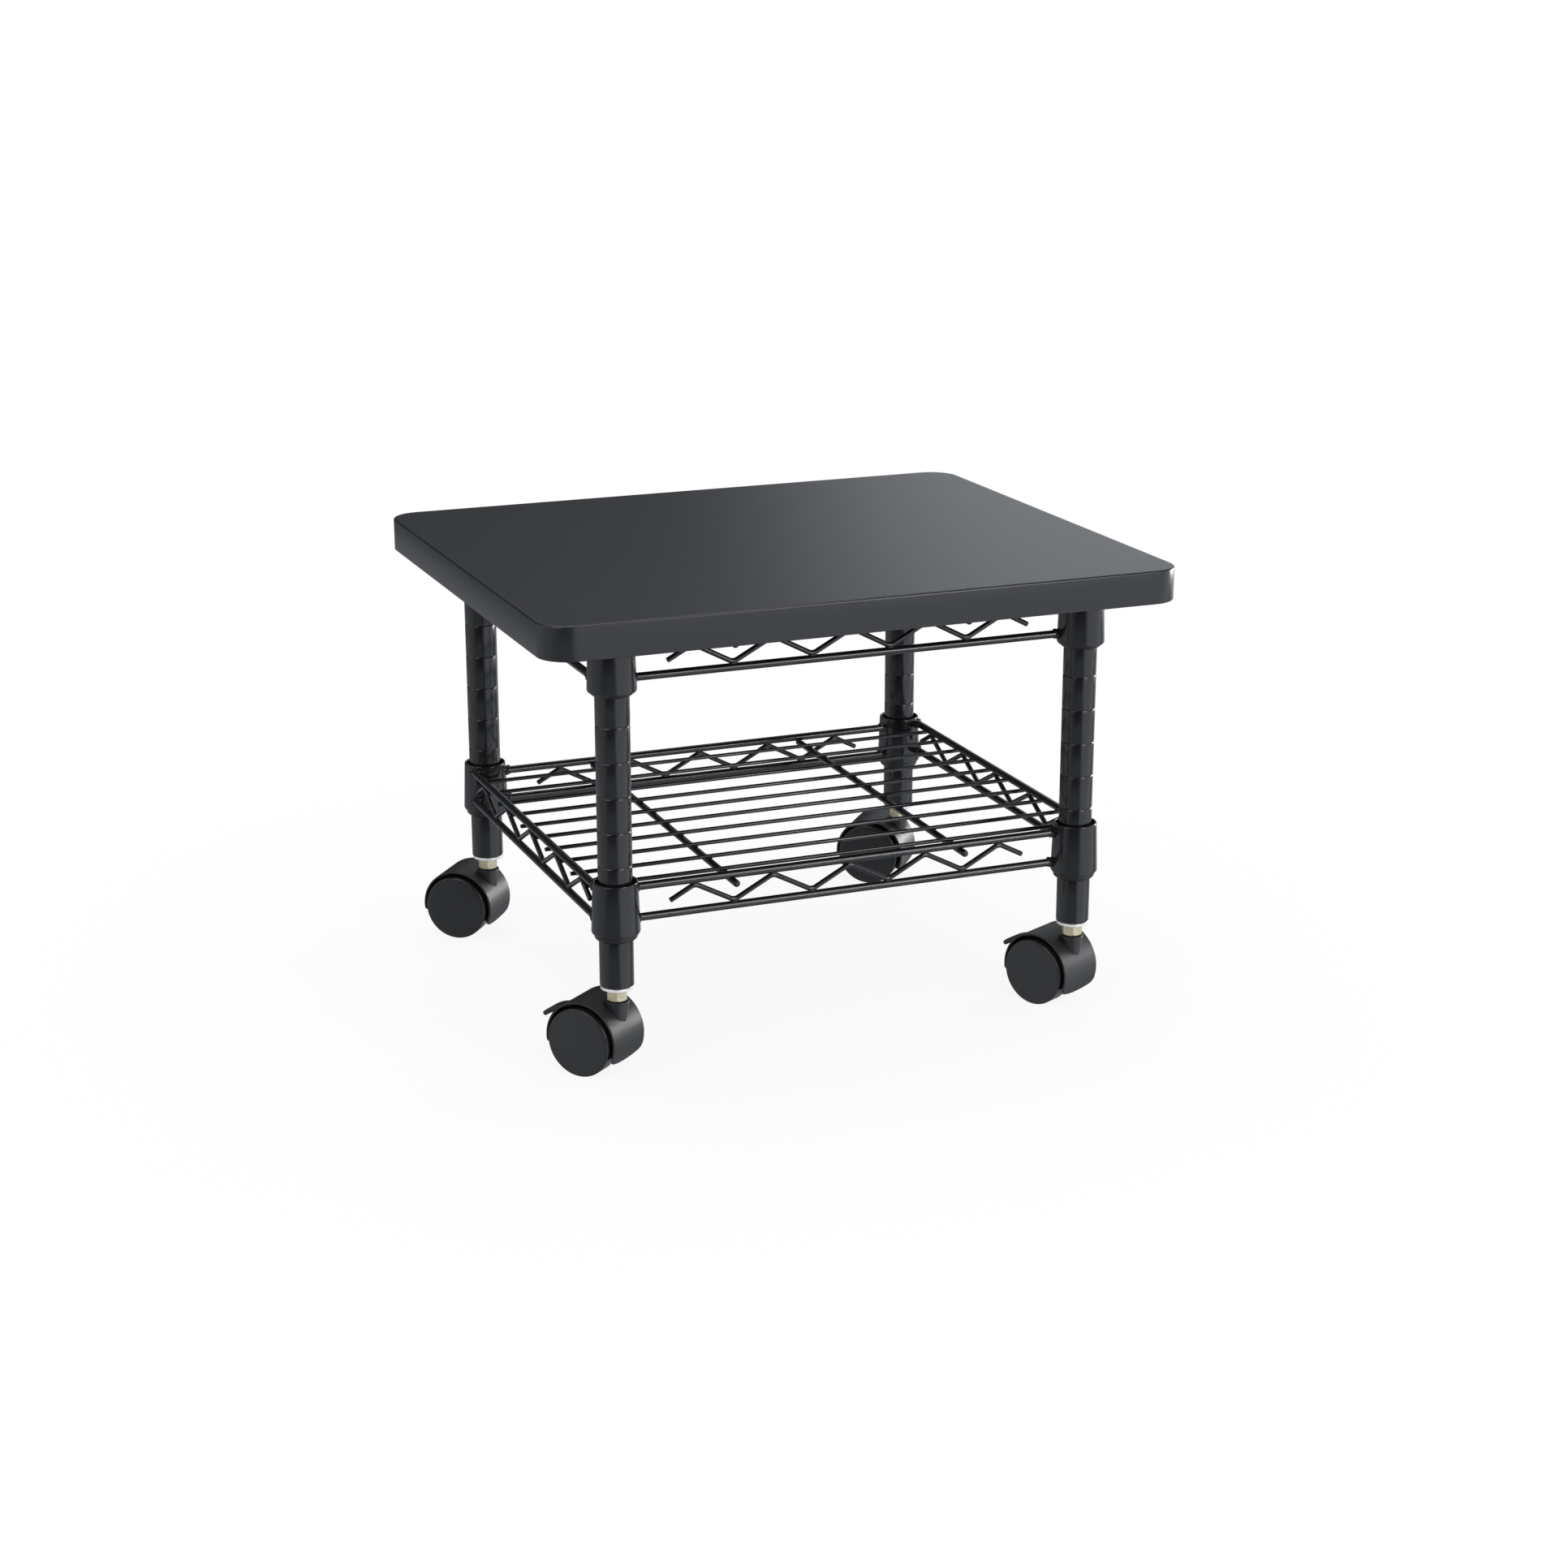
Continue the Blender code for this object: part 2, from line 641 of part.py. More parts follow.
def build_shelves():
    shapes = {"end": side_end(), "truss": cross_truss(), "deck": deck(), "sleeve": split_sleeve()}
    for shelf, rim, sleeve_rim in (("lower", LOWER_RIM, LOWER_RIM), ("upper", UPPER_RIM, POST_TOP)):
        place = (0.0, 0.0, rim)
        add_piece(f"{shelf}_shelf_left_end", shapes["end"], POWDER_COAT, place)
        add_piece(f"{shelf}_shelf_right_end", shapes["end"], POWDER_COAT, place, math.pi)
        add_piece(f"{shelf}_shelf_front_truss", shapes["truss"], POWDER_COAT, place)
        add_piece(f"{shelf}_shelf_rear_truss", shapes["truss"], POWDER_COAT, place, math.pi)
        add_piece(f"{shelf}_shelf_deck", shapes["deck"], POWDER_COAT, place)
        for corner, (sign_x, _) in CORNERS.items():
            turn = 0.0 if sign_x < 0 else math.pi
            sleeve_place = (*corner_place(corner), sleeve_rim)
            add_piece(f"{shelf}_sleeve_{corner}", shapes["sleeve"], SLEEVE_PLASTIC, sleeve_place, turn)


# Casters, modelled about the stem's axis, trailing towards -X


def lever_matrix():
    """The lever's pivot in the caster's frame."""
    distance = HOOD_DIAMETER / 2 - LEVER_PIVOT_DEPTH
    angle = math.radians(LEVER_PIVOT_ANGLE)
    back = TRAIL + distance * math.sin(angle)
    return Matrix.Translation((-back, 0.0, AXLE_HEIGHT + distance * math.cos(angle)))


def lever_outline(room=0.0):
    """(x, z) outline of the lever about its pivot, grown by some room all round."""
    half = LEVER_THICKNESS / 2 + room
    back = -(LEVER_REACH + room)
    knee = -LEVER_REACH / 2
    return [
        (half, -half),
        (half, LEVER_RISE - half + 2 * room),
        (0.0, LEVER_RISE + room),
        (knee, LEVER_RISE - LEVER_LEAN / 4 + room),
        (back, LEVER_RISE - LEVER_LEAN + room),
        (back + half / 2, LEVER_RISE - LEVER_LEAN - half),
        (knee, LEVER_RISE - LEVER_LEAN / 4 - 2 * half),
        (-half, -half),
    ]


def hood_shape(braked):
    """The hood: a barrel over both wheels with a neck for the stem, cut open below."""
    radius = HOOD_DIAMETER / 2
    hood_x = HOOD_LEAD - TRAIL
    barrel = lying(cylinder(HOOD_DIAMETER, -HOOD_WIDTH / 2, HOOD_WIDTH / 2, HOOD_SIDES), hood_x, HOOD_HEIGHT)
    neck_foot = NECK_HEIGHT - NECK_LENGTH
    neck = cylinder(NECK_TOP_DIAMETER, neck_foot, NECK_HEIGHT, HOOD_SIDES // 2, NECK_FOOT_DIAMETER)
    body = combined(barrel, [neck], "UNION")
    well_start = WHEEL_GAP / 2 - CLEARANCE
    wells = []
    for sign in (-1, 1):
        low, high = sorted((sign * well_start, sign * HOOD_WIDTH))
        wells.append(lying(cylinder(WELL_DIAMETER, low, high, HOOD_SIDES), hood_x, HOOD_HEIGHT))
    tilt = math.atan2(HOOD_TAIL_SIDE_DROP - HOOD_STEM_SIDE_DROP, HOOD_DIAMETER)
    middle_drop = (HOOD_STEM_SIDE_DROP + HOOD_TAIL_SIDE_DROP) / 2
    below = Matrix.Translation((-TRAIL, 0.0, AXLE_HEIGHT - middle_drop)) @ Matrix.Rotation(-tilt, 4, "Y")
    below = below @ Matrix.Translation((0.0, 0.0, -radius))
    axle_hole = cylinder(AXLE_DIAMETER + 2 * CLEARANCE, -HOOD_WIDTH, HOOD_WIDTH, ROUND_SIDES)
    socket_bottom = HEX_BOTTOM - PIN_LENGTH - CLEARANCE
    cuts = wells + [
        box(2 * HOOD_DIAMETER, 2 * HOOD_WIDTH, HOOD_DIAMETER, below),
        lying(axle_hole, -TRAIL, AXLE_HEIGHT),
        cylinder(PIN_DIAMETER + 2 * CLEARANCE, socket_bottom, 2 * NECK_HEIGHT, ROUND_SIDES),
    ]
    if braked:
        pocket = plate(lever_outline(LEVER_SWING_ROOM), LEVER_WIDTH + 2 * CLEARANCE)
        pocket.transform(lever_matrix())
        cuts.append(pocket)
    return combined(body, cuts, "DIFFERENCE")


def wheel_shape():
    """A wheel about Z, its outer face up, with flats at its diameter and a blind bore from its inner face."""
    outer = WHEEL_WIDTH / 2
    half_side = math.pi / WHEEL_SIDES
    radius = WHEEL_DIAMETER / 2 / math.cos(half_side)
    bore = AXLE_DIAMETER / 2 + CLEARANCE
    profile = [
        (0.0, outer),
        (radius - WHEEL_ROUNDING, outer - WHEEL_CROWN),
        (radius, outer - WHEEL_CROWN - WHEEL_ROUNDING),
        (radius, -outer + WHEEL_ROUNDING / 3),
        (radius - WHEEL_ROUNDING / 3, -outer),
        (bore, -outer),
        (bore, outer - WHEEL_CAP),
        (0.0, outer - WHEEL_CAP),
    ]
    mesh = turned(profile, WHEEL_SIDES)
    mesh.transform(Matrix.Rotation(half_side, 4, "Z"))
    return mesh


def build_casters():
    hoods = {True: hood_shape(True), False: hood_shape(False)}
    wheel = wheel_shape()
    axle_reach = WHEEL_GAP / 2 + WHEEL_WIDTH - WHEEL_CAP - CLEARANCE
    axle = lying(cylinder(AXLE_DIAMETER, -axle_reach, axle_reach, ROUND_SIDES))
    lever = plate(lever_outline(), LEVER_WIDTH)
    axle_place = (-TRAIL, 0.0, AXLE_HEIGHT)
    wheel_offset = (WHEEL_GAP + WHEEL_WIDTH) / 2
    wheel_1 = lying(wheel)
    wheel_2 = wheel_1.copy()
    wheel_2.transform(Matrix.Rotation(math.pi, 4, "Z"))
    for corner, heading in CASTER_HEADINGS.items():
        swivel = bpy.data.objects.new(f"caster_swivel_{corner}", None)
        swivel.location = (*corner_place(corner), 0.0)
        swivel.rotation_euler = (0.0, 0.0, math.radians(heading))
        STAND.objects.link(swivel)
        braked = corner in BRAKED_CASTERS
        add_piece(f"caster_hood_{corner}", hoods[braked], NYLON, parent=swivel)
        add_piece(f"caster_axle_{corner}", axle, STEEL, axle_place, parent=swivel)
        place_1 = (-TRAIL, -wheel_offset, AXLE_HEIGHT)
        place_2 = (-TRAIL, wheel_offset, AXLE_HEIGHT)
        add_piece(f"caster_wheel_1_{corner}", wheel_1, WHEEL_PLASTIC, place_1, parent=swivel)
        add_piece(f"caster_wheel_2_{corner}", wheel_2, WHEEL_PLASTIC, place_2, parent=swivel)
        if braked:
            pivot = lever_matrix().translation
            add_piece(f"brake_lever_{corner}", lever, NYLON, pivot, parent=swivel)


build_tabletop()
build_clips()
build_posts()
build_inserts()
build_stems()
build_shelves()
build_casters()
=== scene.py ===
"""Looks of the mobile printer stand: fine surfaces, finishes, floor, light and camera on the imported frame."""

import json
import math

import bpy
import numpy as np
from bpy.props import FloatProperty, FloatVectorProperty, PointerProperty
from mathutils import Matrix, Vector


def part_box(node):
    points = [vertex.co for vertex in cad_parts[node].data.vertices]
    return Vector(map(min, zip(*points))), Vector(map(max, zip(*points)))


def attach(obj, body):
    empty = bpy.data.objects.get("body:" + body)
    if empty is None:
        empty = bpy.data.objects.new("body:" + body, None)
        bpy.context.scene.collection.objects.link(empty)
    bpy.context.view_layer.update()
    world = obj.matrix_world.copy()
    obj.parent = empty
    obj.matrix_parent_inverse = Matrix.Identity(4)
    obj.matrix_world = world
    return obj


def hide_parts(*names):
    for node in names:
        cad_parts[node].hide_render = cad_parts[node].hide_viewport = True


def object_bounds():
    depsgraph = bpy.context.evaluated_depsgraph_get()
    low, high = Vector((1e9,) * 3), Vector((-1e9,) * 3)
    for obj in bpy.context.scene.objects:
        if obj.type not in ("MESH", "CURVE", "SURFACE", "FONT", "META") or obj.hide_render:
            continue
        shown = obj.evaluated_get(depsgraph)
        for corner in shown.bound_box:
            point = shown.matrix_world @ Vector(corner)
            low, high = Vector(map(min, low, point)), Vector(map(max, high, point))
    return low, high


bl_info = {
    "name": "Mobile Printer Stand",
    "version": (1, 0, 0),
    "blender": (4, 5, 0),
    "location": "View3D > Sidebar > Stand",
    "description": "Dresses the packed printer stand with fine surfaces, finishes and a plain studio",
    "category": "Object",
}

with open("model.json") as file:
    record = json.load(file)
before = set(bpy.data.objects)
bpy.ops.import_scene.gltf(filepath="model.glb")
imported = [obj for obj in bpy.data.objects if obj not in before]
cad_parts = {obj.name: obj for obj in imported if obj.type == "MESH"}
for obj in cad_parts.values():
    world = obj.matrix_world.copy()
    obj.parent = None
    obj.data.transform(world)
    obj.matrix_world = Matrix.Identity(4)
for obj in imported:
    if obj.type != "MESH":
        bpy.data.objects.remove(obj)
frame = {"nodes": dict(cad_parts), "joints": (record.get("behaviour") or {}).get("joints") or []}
CAD_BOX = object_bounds()

CORNERS = ("front_left", "front_right", "rear_left", "rear_right")
BRAKED = ("front_left", "front_right")
SHELVES = ("lower", "upper")
SHELF_BODY = {"lower": "lower_shelf", "upper": "frame"}
JOINTS = {joint["name"]: joint for joint in frame["joints"]}
MM = 0.001
INCH = 0.0254
WHITE = (1.0, 1.0, 1.0, 1.0)
UP = (0.0, 0.0, 1.0)
NO_ENDS = np.empty((0, 4), int)

# A stem's hexagon shows a corner to the front.
STEM_TURN = math.radians(-108.75)
# A braked hood is open for its lever between these angles from its top.
SLOT_TOP = math.radians(-36)
SLOT_BOTTOM = math.radians(-67)
SLOT_HALF_WIDTH = 6.3 * MM
# Rounding of the cut ends of wires and of cross supports.
WIRE_END = 0.5 * MM
SUPPORT_END = 1.6 * MM
# Slack in comparing lengths and angles.
TINY = 1e-9
# Points round the circles of each kind of piece.
TUBE_SIDES = 72
WHEEL_SIDES = 96
STEM_SIDES = 96
NECK_SIDES = 64
RAIL_SIDES = 28
WIRE_SIDES = 20
DECK_SIDES = 16
BEAD_SIDES = 10


# Sizes and colours


def srgb(code):
    """A '#rrggbb' colour as linear red, green and blue."""
    share = np.array([int(code[i : i + 2], 16) for i in (1, 3, 5)]) / 255
    return tuple(np.where(share <= 0.04045, share / 12.92, ((share + 0.055) / 1.055) ** 2.4).tolist())


def colour(name, code, description):
    """A colour that a user can change."""
    return FloatVectorProperty(
        name=name, description=description, default=srgb(code), subtype="COLOR", size=3, min=0.0, max=1.0
    )


def length(name, millimetres, description):
    """A length that a user can change."""
    return FloatProperty(name=name, description=description, default=millimetres * MM, min=0.0, unit="LENGTH")


class StandColours(bpy.types.PropertyGroup):
    """Colours of the finishes."""

    laminate: colour("Laminate", "#202124", "Board's charcoal laminate")
    powder_coat: colour("Powder coat", "#17181a", "Black coat of posts, collars and wires")
    sleeve: colour("Sleeve", "#1a1b1c", "Split plastic sleeves in the collars")
    hood: colour("Hood", "#202123", "Textured nylon of the caster hoods and levers")
    wheel: colour("Wheel", "#212224", "Smooth nylon of the wheels")
    bright_zinc: colour("Bright zinc", "#f8f9fa", "Plated post inserts and screws")
    yellow_zinc: colour("Yellow zinc", "#dfd8bd", "Plated caster stems")
    steel: colour("Steel", "#b9babc", "Plain axles")
    floor: colour("Floor", "#fbfbfb", "Pale studio floor")


class StandSizes(bpy.types.PropertyGroup):
    """Sizes of the fine forms. The rest is read from the frame."""

    plan_corner: length("Plan corner", 23.0, "Radius of the board's corners in plan")
    edge_ease: length("Edge ease", 1.3, "Radius of the board's eased edges")
    lip_width: length("Lip width", 20.0, "Width of the lip round the board's underside")
    lip_height: length("Lip height", 6.0, "Height of the lip below the board's underside")
    post_wall: length("Post wall", 1.2, "Wall of the tube posts")
    groove_depth: length("Groove depth", 0.38, "Depth of a ring groove in a post")
    groove_width: length("Groove width", 1.6, "Width of a ring groove in a post")
    lowest_groove: length("Lowest groove", 38.5, "Lowest groove above the post's end")
    rail: length("Rail", 5.8, "Thickness of the perimeter rails")
    zigzag: length("Zigzag", 3.8, "Thickness of the zigzag wires")
    deck_wire: length("Deck wire", 3.1, "Thickness of the deck wires")
    support: length("Support", 5.2, "Thickness of the cross supports")
    zigzag_pitch: length("Zigzag pitch", 60.0, "Distance between two tops of a zigzag")
    zigzag_tail: length("Zigzag tail", 19.0, "Free end of a zigzag past its last top")
    zigzag_bend: length("Zigzag bend", 6.5, "Centre line radius of a zigzag's bends")
    side_rail_outset: length("Side rail outset", 12.0, "Side rails outside the post line")
    side_rail_drop: length("Side rail drop", 5.2, "Upper side rail below the collar's rim")
    rail_spread: length("Rail spread", 23.1, "Distance from upper to lower rail")
    weld_flare: length("Weld flare", 1.1, "Swelling of a rail where it is welded to a collar")
    collar_flare: length("Collar flare", 1.3, "Growth of a collar's radius from rim to foot")
    sleeve_recess: length("Sleeve recess", 4.0, "Top of a sleeve below its collar's rim")
    collar_wall: length("Collar wall", 1.6, "Wall of the collars")
    clearance: length("Clearance", 0.3, "Gap between pieces that fit together")
    hexagon: length("Hexagon", 16.2, "Hexagon of a caster's stem across its corners")
    stem_gap: length("Stem gap", 1.0, "Gap between the hexagon and the neck of the hood")
    trail: length("Trail", 20.1, "Distance of a caster's axle from its stem")
    hood_radius: length("Hood radius", 29.0, "Outer radius of a caster's hood")
    hood_wall: length("Hood wall", 1.4, "Wall of a caster's hood")
    hood_lead: length("Hood lead", 0.9, "Middle of the hood ahead of the axle")
    hood_lift: length("Hood lift", 1.0, "Middle of the hood above the axle")
    hood_half_width: length("Hood half width", 19.5, "Rim of the hood from its mid plane")
    skirt_drop: length("Skirt drop", 15.2, "Hood's stem side below the axle")
    skirt_curve: length("Skirt curve", 3.2, "Rise of the skirt's lower edge to its rims")
    tail_drop: length("Tail drop", 5.2, "End of the hood's tail below the axle")


def sizes():
    """The scene's sizes."""
    return bpy.context.scene.stand_sizes


def colours():
    """The scene's colours."""
    return bpy.context.scene.stand_colours


# Places read from the frame


def post_place(corner):
    """Centre of a post in plan."""
    low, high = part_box(f"post_{corner}")
    return np.array([(low.x + high.x) / 2, (low.y + high.y) / 2])


def post_radius():
    """Outer radius of the posts."""
    low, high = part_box("post_front_left")
    return (high.x - low.x) / 2


def rim_height(shelf):
    """Height of a shelf's collar rims."""
    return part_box(f"{shelf}_shelf_left_end")[1].z


def sleeve_rim(shelf):
    """Height of the rim that a shelf's sleeves are measured from, above their own tops."""
    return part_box(f"{shelf}_sleeve_front_left")[1].z + sizes().sleeve_recess


def collar_height():
    """Height of a collar from foot to rim."""
    low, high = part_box("lower_shelf_left_end")
    return high.z - low.z


def collar_radius(drop):
    """Outer radius of a collar at a drop below its rim. At its foot, its bore leaves the sleeve a gap."""
    low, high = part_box("lower_sleeve_front_left")
    sleeve_foot = (high.y - low.y) / 2
    top = sleeve_foot + sizes().clearance + sizes().collar_wall - sizes().collar_flare
    return top + sizes().collar_flare * drop / collar_height()


def heading(corner):
    """A caster's turn about Z at rest, from the axis of its wheels."""
    axis = JOINTS[f"wheel_1_spin_{corner}"]["axis"]
    return math.atan2(-axis[0], axis[1])


def neck_top(corner):
    """Height of the rim of a hood's neck, which stands back from the hood's own limit for a clear gap."""
    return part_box(f"caster_hood_{corner}")[1].z - sizes().stem_gap


def axle_height():
    """Height of the caster axles, which is also the wheels' radius."""
    return JOINTS["wheel_1_spin_front_left"]["pos_m"][2]


# Meshes from arrays


def points_at(x, y, z):
    """Points from three coordinates of matching shapes."""
    return np.stack(np.broadcast_arrays(x, y, z), axis=-1)


def unit(vectors):
    """Vectors at length one."""
    return vectors / np.linalg.norm(vectors, axis=-1, keepdims=True)


def full_turn(steps):
    """Angles once round, without the last, which is the first again."""
    return np.linspace(0.0, 2 * np.pi, steps, endpoint=False)


def grid_quads(rows, columns, wrap):
    """Quads of a grid of points. Column j joins j + 1, and with wrap the last column joins the first."""
    down = np.arange(rows - 1)[:, None] * columns
    across = np.arange(columns if wrap else columns - 1)[None, :]
    following = (across + 1) % columns
    corners = (down + across, down + following, down + columns + following, down + columns + across)
    return np.stack(np.broadcast_arrays(*corners), axis=-1).reshape(-1, 4)


def shell(grid, ring=False):
    """Points, quads and end faces of a grid whose columns close round. In a ring, its rows close too."""
    rows, columns = grid.shape[:2]
    points = grid.reshape(-1, 3)
    if ring:
        return points, grid_quads(rows + 1, columns, True) % len(points), NO_ENDS
    row = np.arange(columns)
    ends = np.array([row[::-1], row + (rows - 1) * columns])
    return points, grid_quads(rows, columns, True), ends


def about_axis(radius, height, angle, centre):
    """Points round an upright axis: x = r cos a, y = r sin a."""
    return points_at(centre[0] + radius * np.cos(angle), centre[1] + radius * np.sin(angle), height)


def turned(profile, sides, centre):
    """A closed outline of (radius, height) points carried round an upright axis."""
    return shell(about_axis(profile[:, :1], profile[:, 1:], full_turn(sides), centre), ring=True)


def wire_shell(path, thickness, rounding, normal, sides, steps=4):
    """A circle carried along a path that lies in the plane with this normal: p + r (cos a b + sin a n). Its
    radius follows a quarter circle at both ends."""
    turn = np.linspace(0.0, np.pi / 2, steps)
    along = rounding * (1 - np.cos(turn))
    across = thickness / 2 - rounding * (1 - np.sin(turn))
    start = path[0] + along[:, None] * unit(path[1] - path[0])
    stop = path[-1] + along[::-1, None] * unit(path[-2] - path[-1])
    centre = np.concatenate([start, path[1:-1], stop])[:, None]
    radius = np.concatenate([across, np.full(len(path) - 2, thickness / 2), across[::-1]])[:, None, None]
    side = np.cross(normal, unit(np.gradient(centre, axis=0)))
    angle = full_turn(sides)[:, None]
    grid = centre + radius * (np.cos(angle) * side + np.sin(angle) * np.asarray(normal))
    return shell(grid[:, ::-1])


def quarter(centre, radius, start, stop, steps=6):
    """Points of an arc about a centre from one angle to another, in degrees."""
    angle = np.radians(np.linspace(start, stop, steps))
    return np.column_stack([centre[0] + radius * np.cos(angle), centre[1] + radius * np.sin(angle)])


def outline(*stretches):
    """The points of an outline from its corners and arcs, in order."""
    return np.concatenate(stretches)


def bead(centre, half_sizes):
    """An ellipsoid: the half sizes times cos v cos u, cos v sin u and sin v, with small flat poles."""
    pole = 0.47 * np.pi
    v = np.linspace(pole, -pole, 6)[:, None]
    u = full_turn(BEAD_SIDES)
    return shell(centre + half_sizes * points_at(np.cos(v) * np.cos(u), np.cos(v) * np.sin(u), np.sin(v)))


def make_piece(name, shells, material, body, slot, *nodes, sharp=35.0):
    """One object from several shells, shaded smooth up to a sharp angle, on a body in place of CAD nodes."""
    starts = np.cumsum([0] + [len(points) for points, _, _ in shells])
    faces = []
    for start, (_, quads, ends) in zip(starts, shells):
        faces += (quads + start).tolist() + (ends + start).tolist()
    mesh = bpy.data.meshes.new(name)
    mesh.from_pydata(np.concatenate([points for points, _, _ in shells]).tolist(), [], faces)
    mesh.shade_smooth()
    mesh.set_sharp_from_angle(angle=math.radians(sharp))
    mesh.materials.append(material)
    obj = bpy.data.objects.new(name, mesh)
    bpy.context.scene.collection.objects.link(obj)
    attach(obj, body)
    if nodes:
        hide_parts(*nodes)
    return obj


# Materials


def node(tree, kind, inputs=None, **settings):
    """Adds a node, sets its settings and fills its inputs, by name or number, with values or with links."""
    made = tree.nodes.new(kind)
    for key, value in settings.items():
        setattr(made, key, value)
    for key, value in (inputs or {}).items():
        if isinstance(value, bpy.types.NodeSocket):
            tree.links.new(value, made.inputs[key])
        else:
            made.inputs[key].default_value = value
    return made


def new_material(name):
    """A material by its name, with its emptied node tree where it is new."""
    material = bpy.data.materials.get(name)
    if material:
        return material, None
    material = bpy.data.materials.new(name)
    material.use_nodes = True
    material.node_tree.nodes.clear()
    return material, material.node_tree


def shade(base, factor=1.0):
    """A colour made lighter or darker, with its alpha."""
    return tuple(min(channel * factor, 1.0) for channel in base) + (1.0,)


def drift(base, tone):
    """A colour's darker and lighter neighbours, a tone away."""
    return shade(base, 1.0 - tone), shade(base, 1.0 + tone)


def finish(name, tones, cloud, grain, rough, relief=None, detail=2.0, **surface):
    """A surface that drifts between two tones in clouds, while a grain carries its roughness from low to
    high. Both have real sizes. With a relief, given as bump strength and distance, the grain stands up."""
    material, tree = new_material(name)
    if tree is None:
        return material
    place = node(tree, "ShaderNodeTexCoord").outputs["Object"]
    clouds = {"Vector": place, "Scale": 1.0 / cloud, "Detail": detail}
    grains = {"Vector": place, "Scale": 1.0 / grain, "Detail": detail}
    height = node(tree, "ShaderNodeTexNoise", grains).outputs["Fac"]
    mix = {0: node(tree, "ShaderNodeTexNoise", clouds).outputs["Fac"], 6: tones[0], 7: tones[1]}
    gloss = {"Value": height, "From Min": 0.3, "From Max": 0.7, "To Min": rough[0], "To Max": rough[1]}
    surface["Base Color"] = node(tree, "ShaderNodeMix", mix, data_type="RGBA").outputs[2]
    surface["Roughness"] = node(tree, "ShaderNodeMapRange", gloss).outputs["Result"]
    if relief:
        bump = {"Strength": relief[0], "Distance": relief[1], "Height": height}
        surface["Normal"] = node(tree, "ShaderNodeBump", bump).outputs["Normal"]
    shader = node(tree, "ShaderNodeBsdfPrincipled", surface)
    node(tree, "ShaderNodeOutputMaterial", {"Surface": shader.outputs["BSDF"]})
    return material


def charcoal_laminate():
    """Melamine laminate pressed on a fine pearl plate: satin, with a faint grain of about a millimetre."""
    tones = drift(colours().laminate, 0.07)
    look = {"cloud": 60 * MM, "grain": 1.0 * MM, "rough": (0.20, 0.27), "relief": (0.10, 0.05 * MM)}
    return finish("charcoal melamine laminate, satin", tones, **look, IOR=1.5)


def black_powder_coat():
    """Baked gloss powder coat on steel: smooth, with a shallow orange peel about 3 mm across."""
    tones = drift(colours().powder_coat, 0.10)
    look = {"cloud": 25 * MM, "grain": 3.0 * MM, "rough": (0.12, 0.20), "relief": (0.08, 0.05 * MM)}
    return finish("black powder coat, gloss", tones, **look, IOR=1.55)


def textured_nylon():
    """Glass-filled nylon from a spark-eroded tool: a speckled sheen. Its grain is finer than 0.7 mm, and is
    drawn that coarse so that it shows."""
    tones = drift(colours().hood, 0.12)
    look = {"cloud": 18 * MM, "grain": 0.7 * MM, "rough": (0.32, 0.52), "relief": (0.6, 0.14 * MM)}
    return finish("black nylon, spark textured", tones, **look, IOR=1.53)


def smooth_nylon():
    """Nylon from a plain satin tool: even, with a very fine haze."""
    tones = drift(colours().wheel, 0.12)
    look = {"cloud": 18 * MM, "grain": 0.7 * MM, "rough": (0.16, 0.22), "relief": (0.05, 0.03 * MM)}
    return finish("black nylon, satin", tones, **look, IOR=1.53)


def sleeve_plastic():
    """Polypropylene from a plain tool: dull and slightly waxy."""
    tones = drift(colours().sleeve, 0.12)
    look = {"cloud": 18 * MM, "grain": 1.2 * MM, "rough": (0.28, 0.38), "relief": (0.10, 0.05 * MM)}
    return finish("black polypropylene, moulded", tones, **look, IOR=1.49)


def plated(name, tones, rough, metallic):
    """Plated steel: the metal's reflection, clouded in patches of a few millimetres. A thick dull plate
    scatters part of the light, so it is less than fully metallic."""
    patch = 4 * MM
    return finish(name, tones, cloud=patch, grain=patch, rough=rough, detail=3.0, Metallic=metallic)


def bright_zinc():
    """Clear zinc plate: nearly white, slightly blue."""
    base = colours().bright_zinc
    return plated("zinc plate, bright", (shade(base), shade(base, 0.88)), rough=(0.22, 0.34), metallic=0.30)


def yellow_zinc():
    """Yellow chromated zinc plate: pale straw that drifts towards green."""
    tones = (shade(colours().yellow_zinc), shade(srgb("#b5ae90")))
    return plated("zinc plate, yellow chromated", tones, rough=(0.22, 0.36), metallic=0.40)


def drawn_steel():
    """Plain drawn steel bar."""
    base = colours().steel
    return plated("steel, drawn", (shade(base), shade(base, 0.85)), rough=(0.25, 0.40), metallic=1.0)


# Board


def rounded_plan(half_x, half_y, radius):
    """A rectangle with round corners, counter-clockwise, with the same number of points for any radius."""
    centres = np.array([(1, 1), (-1, 1), (-1, -1), (1, -1)])
    angle = np.arange(4)[:, None] * np.pi / 2 + np.linspace(0.0, np.pi / 2, 14)
    x = centres[:, :1] * (half_x - radius) + radius * np.cos(angle)
    y = centres[:, 1:] * (half_y - radius) + radius * np.sin(angle)
    return x.ravel(), y.ravel()


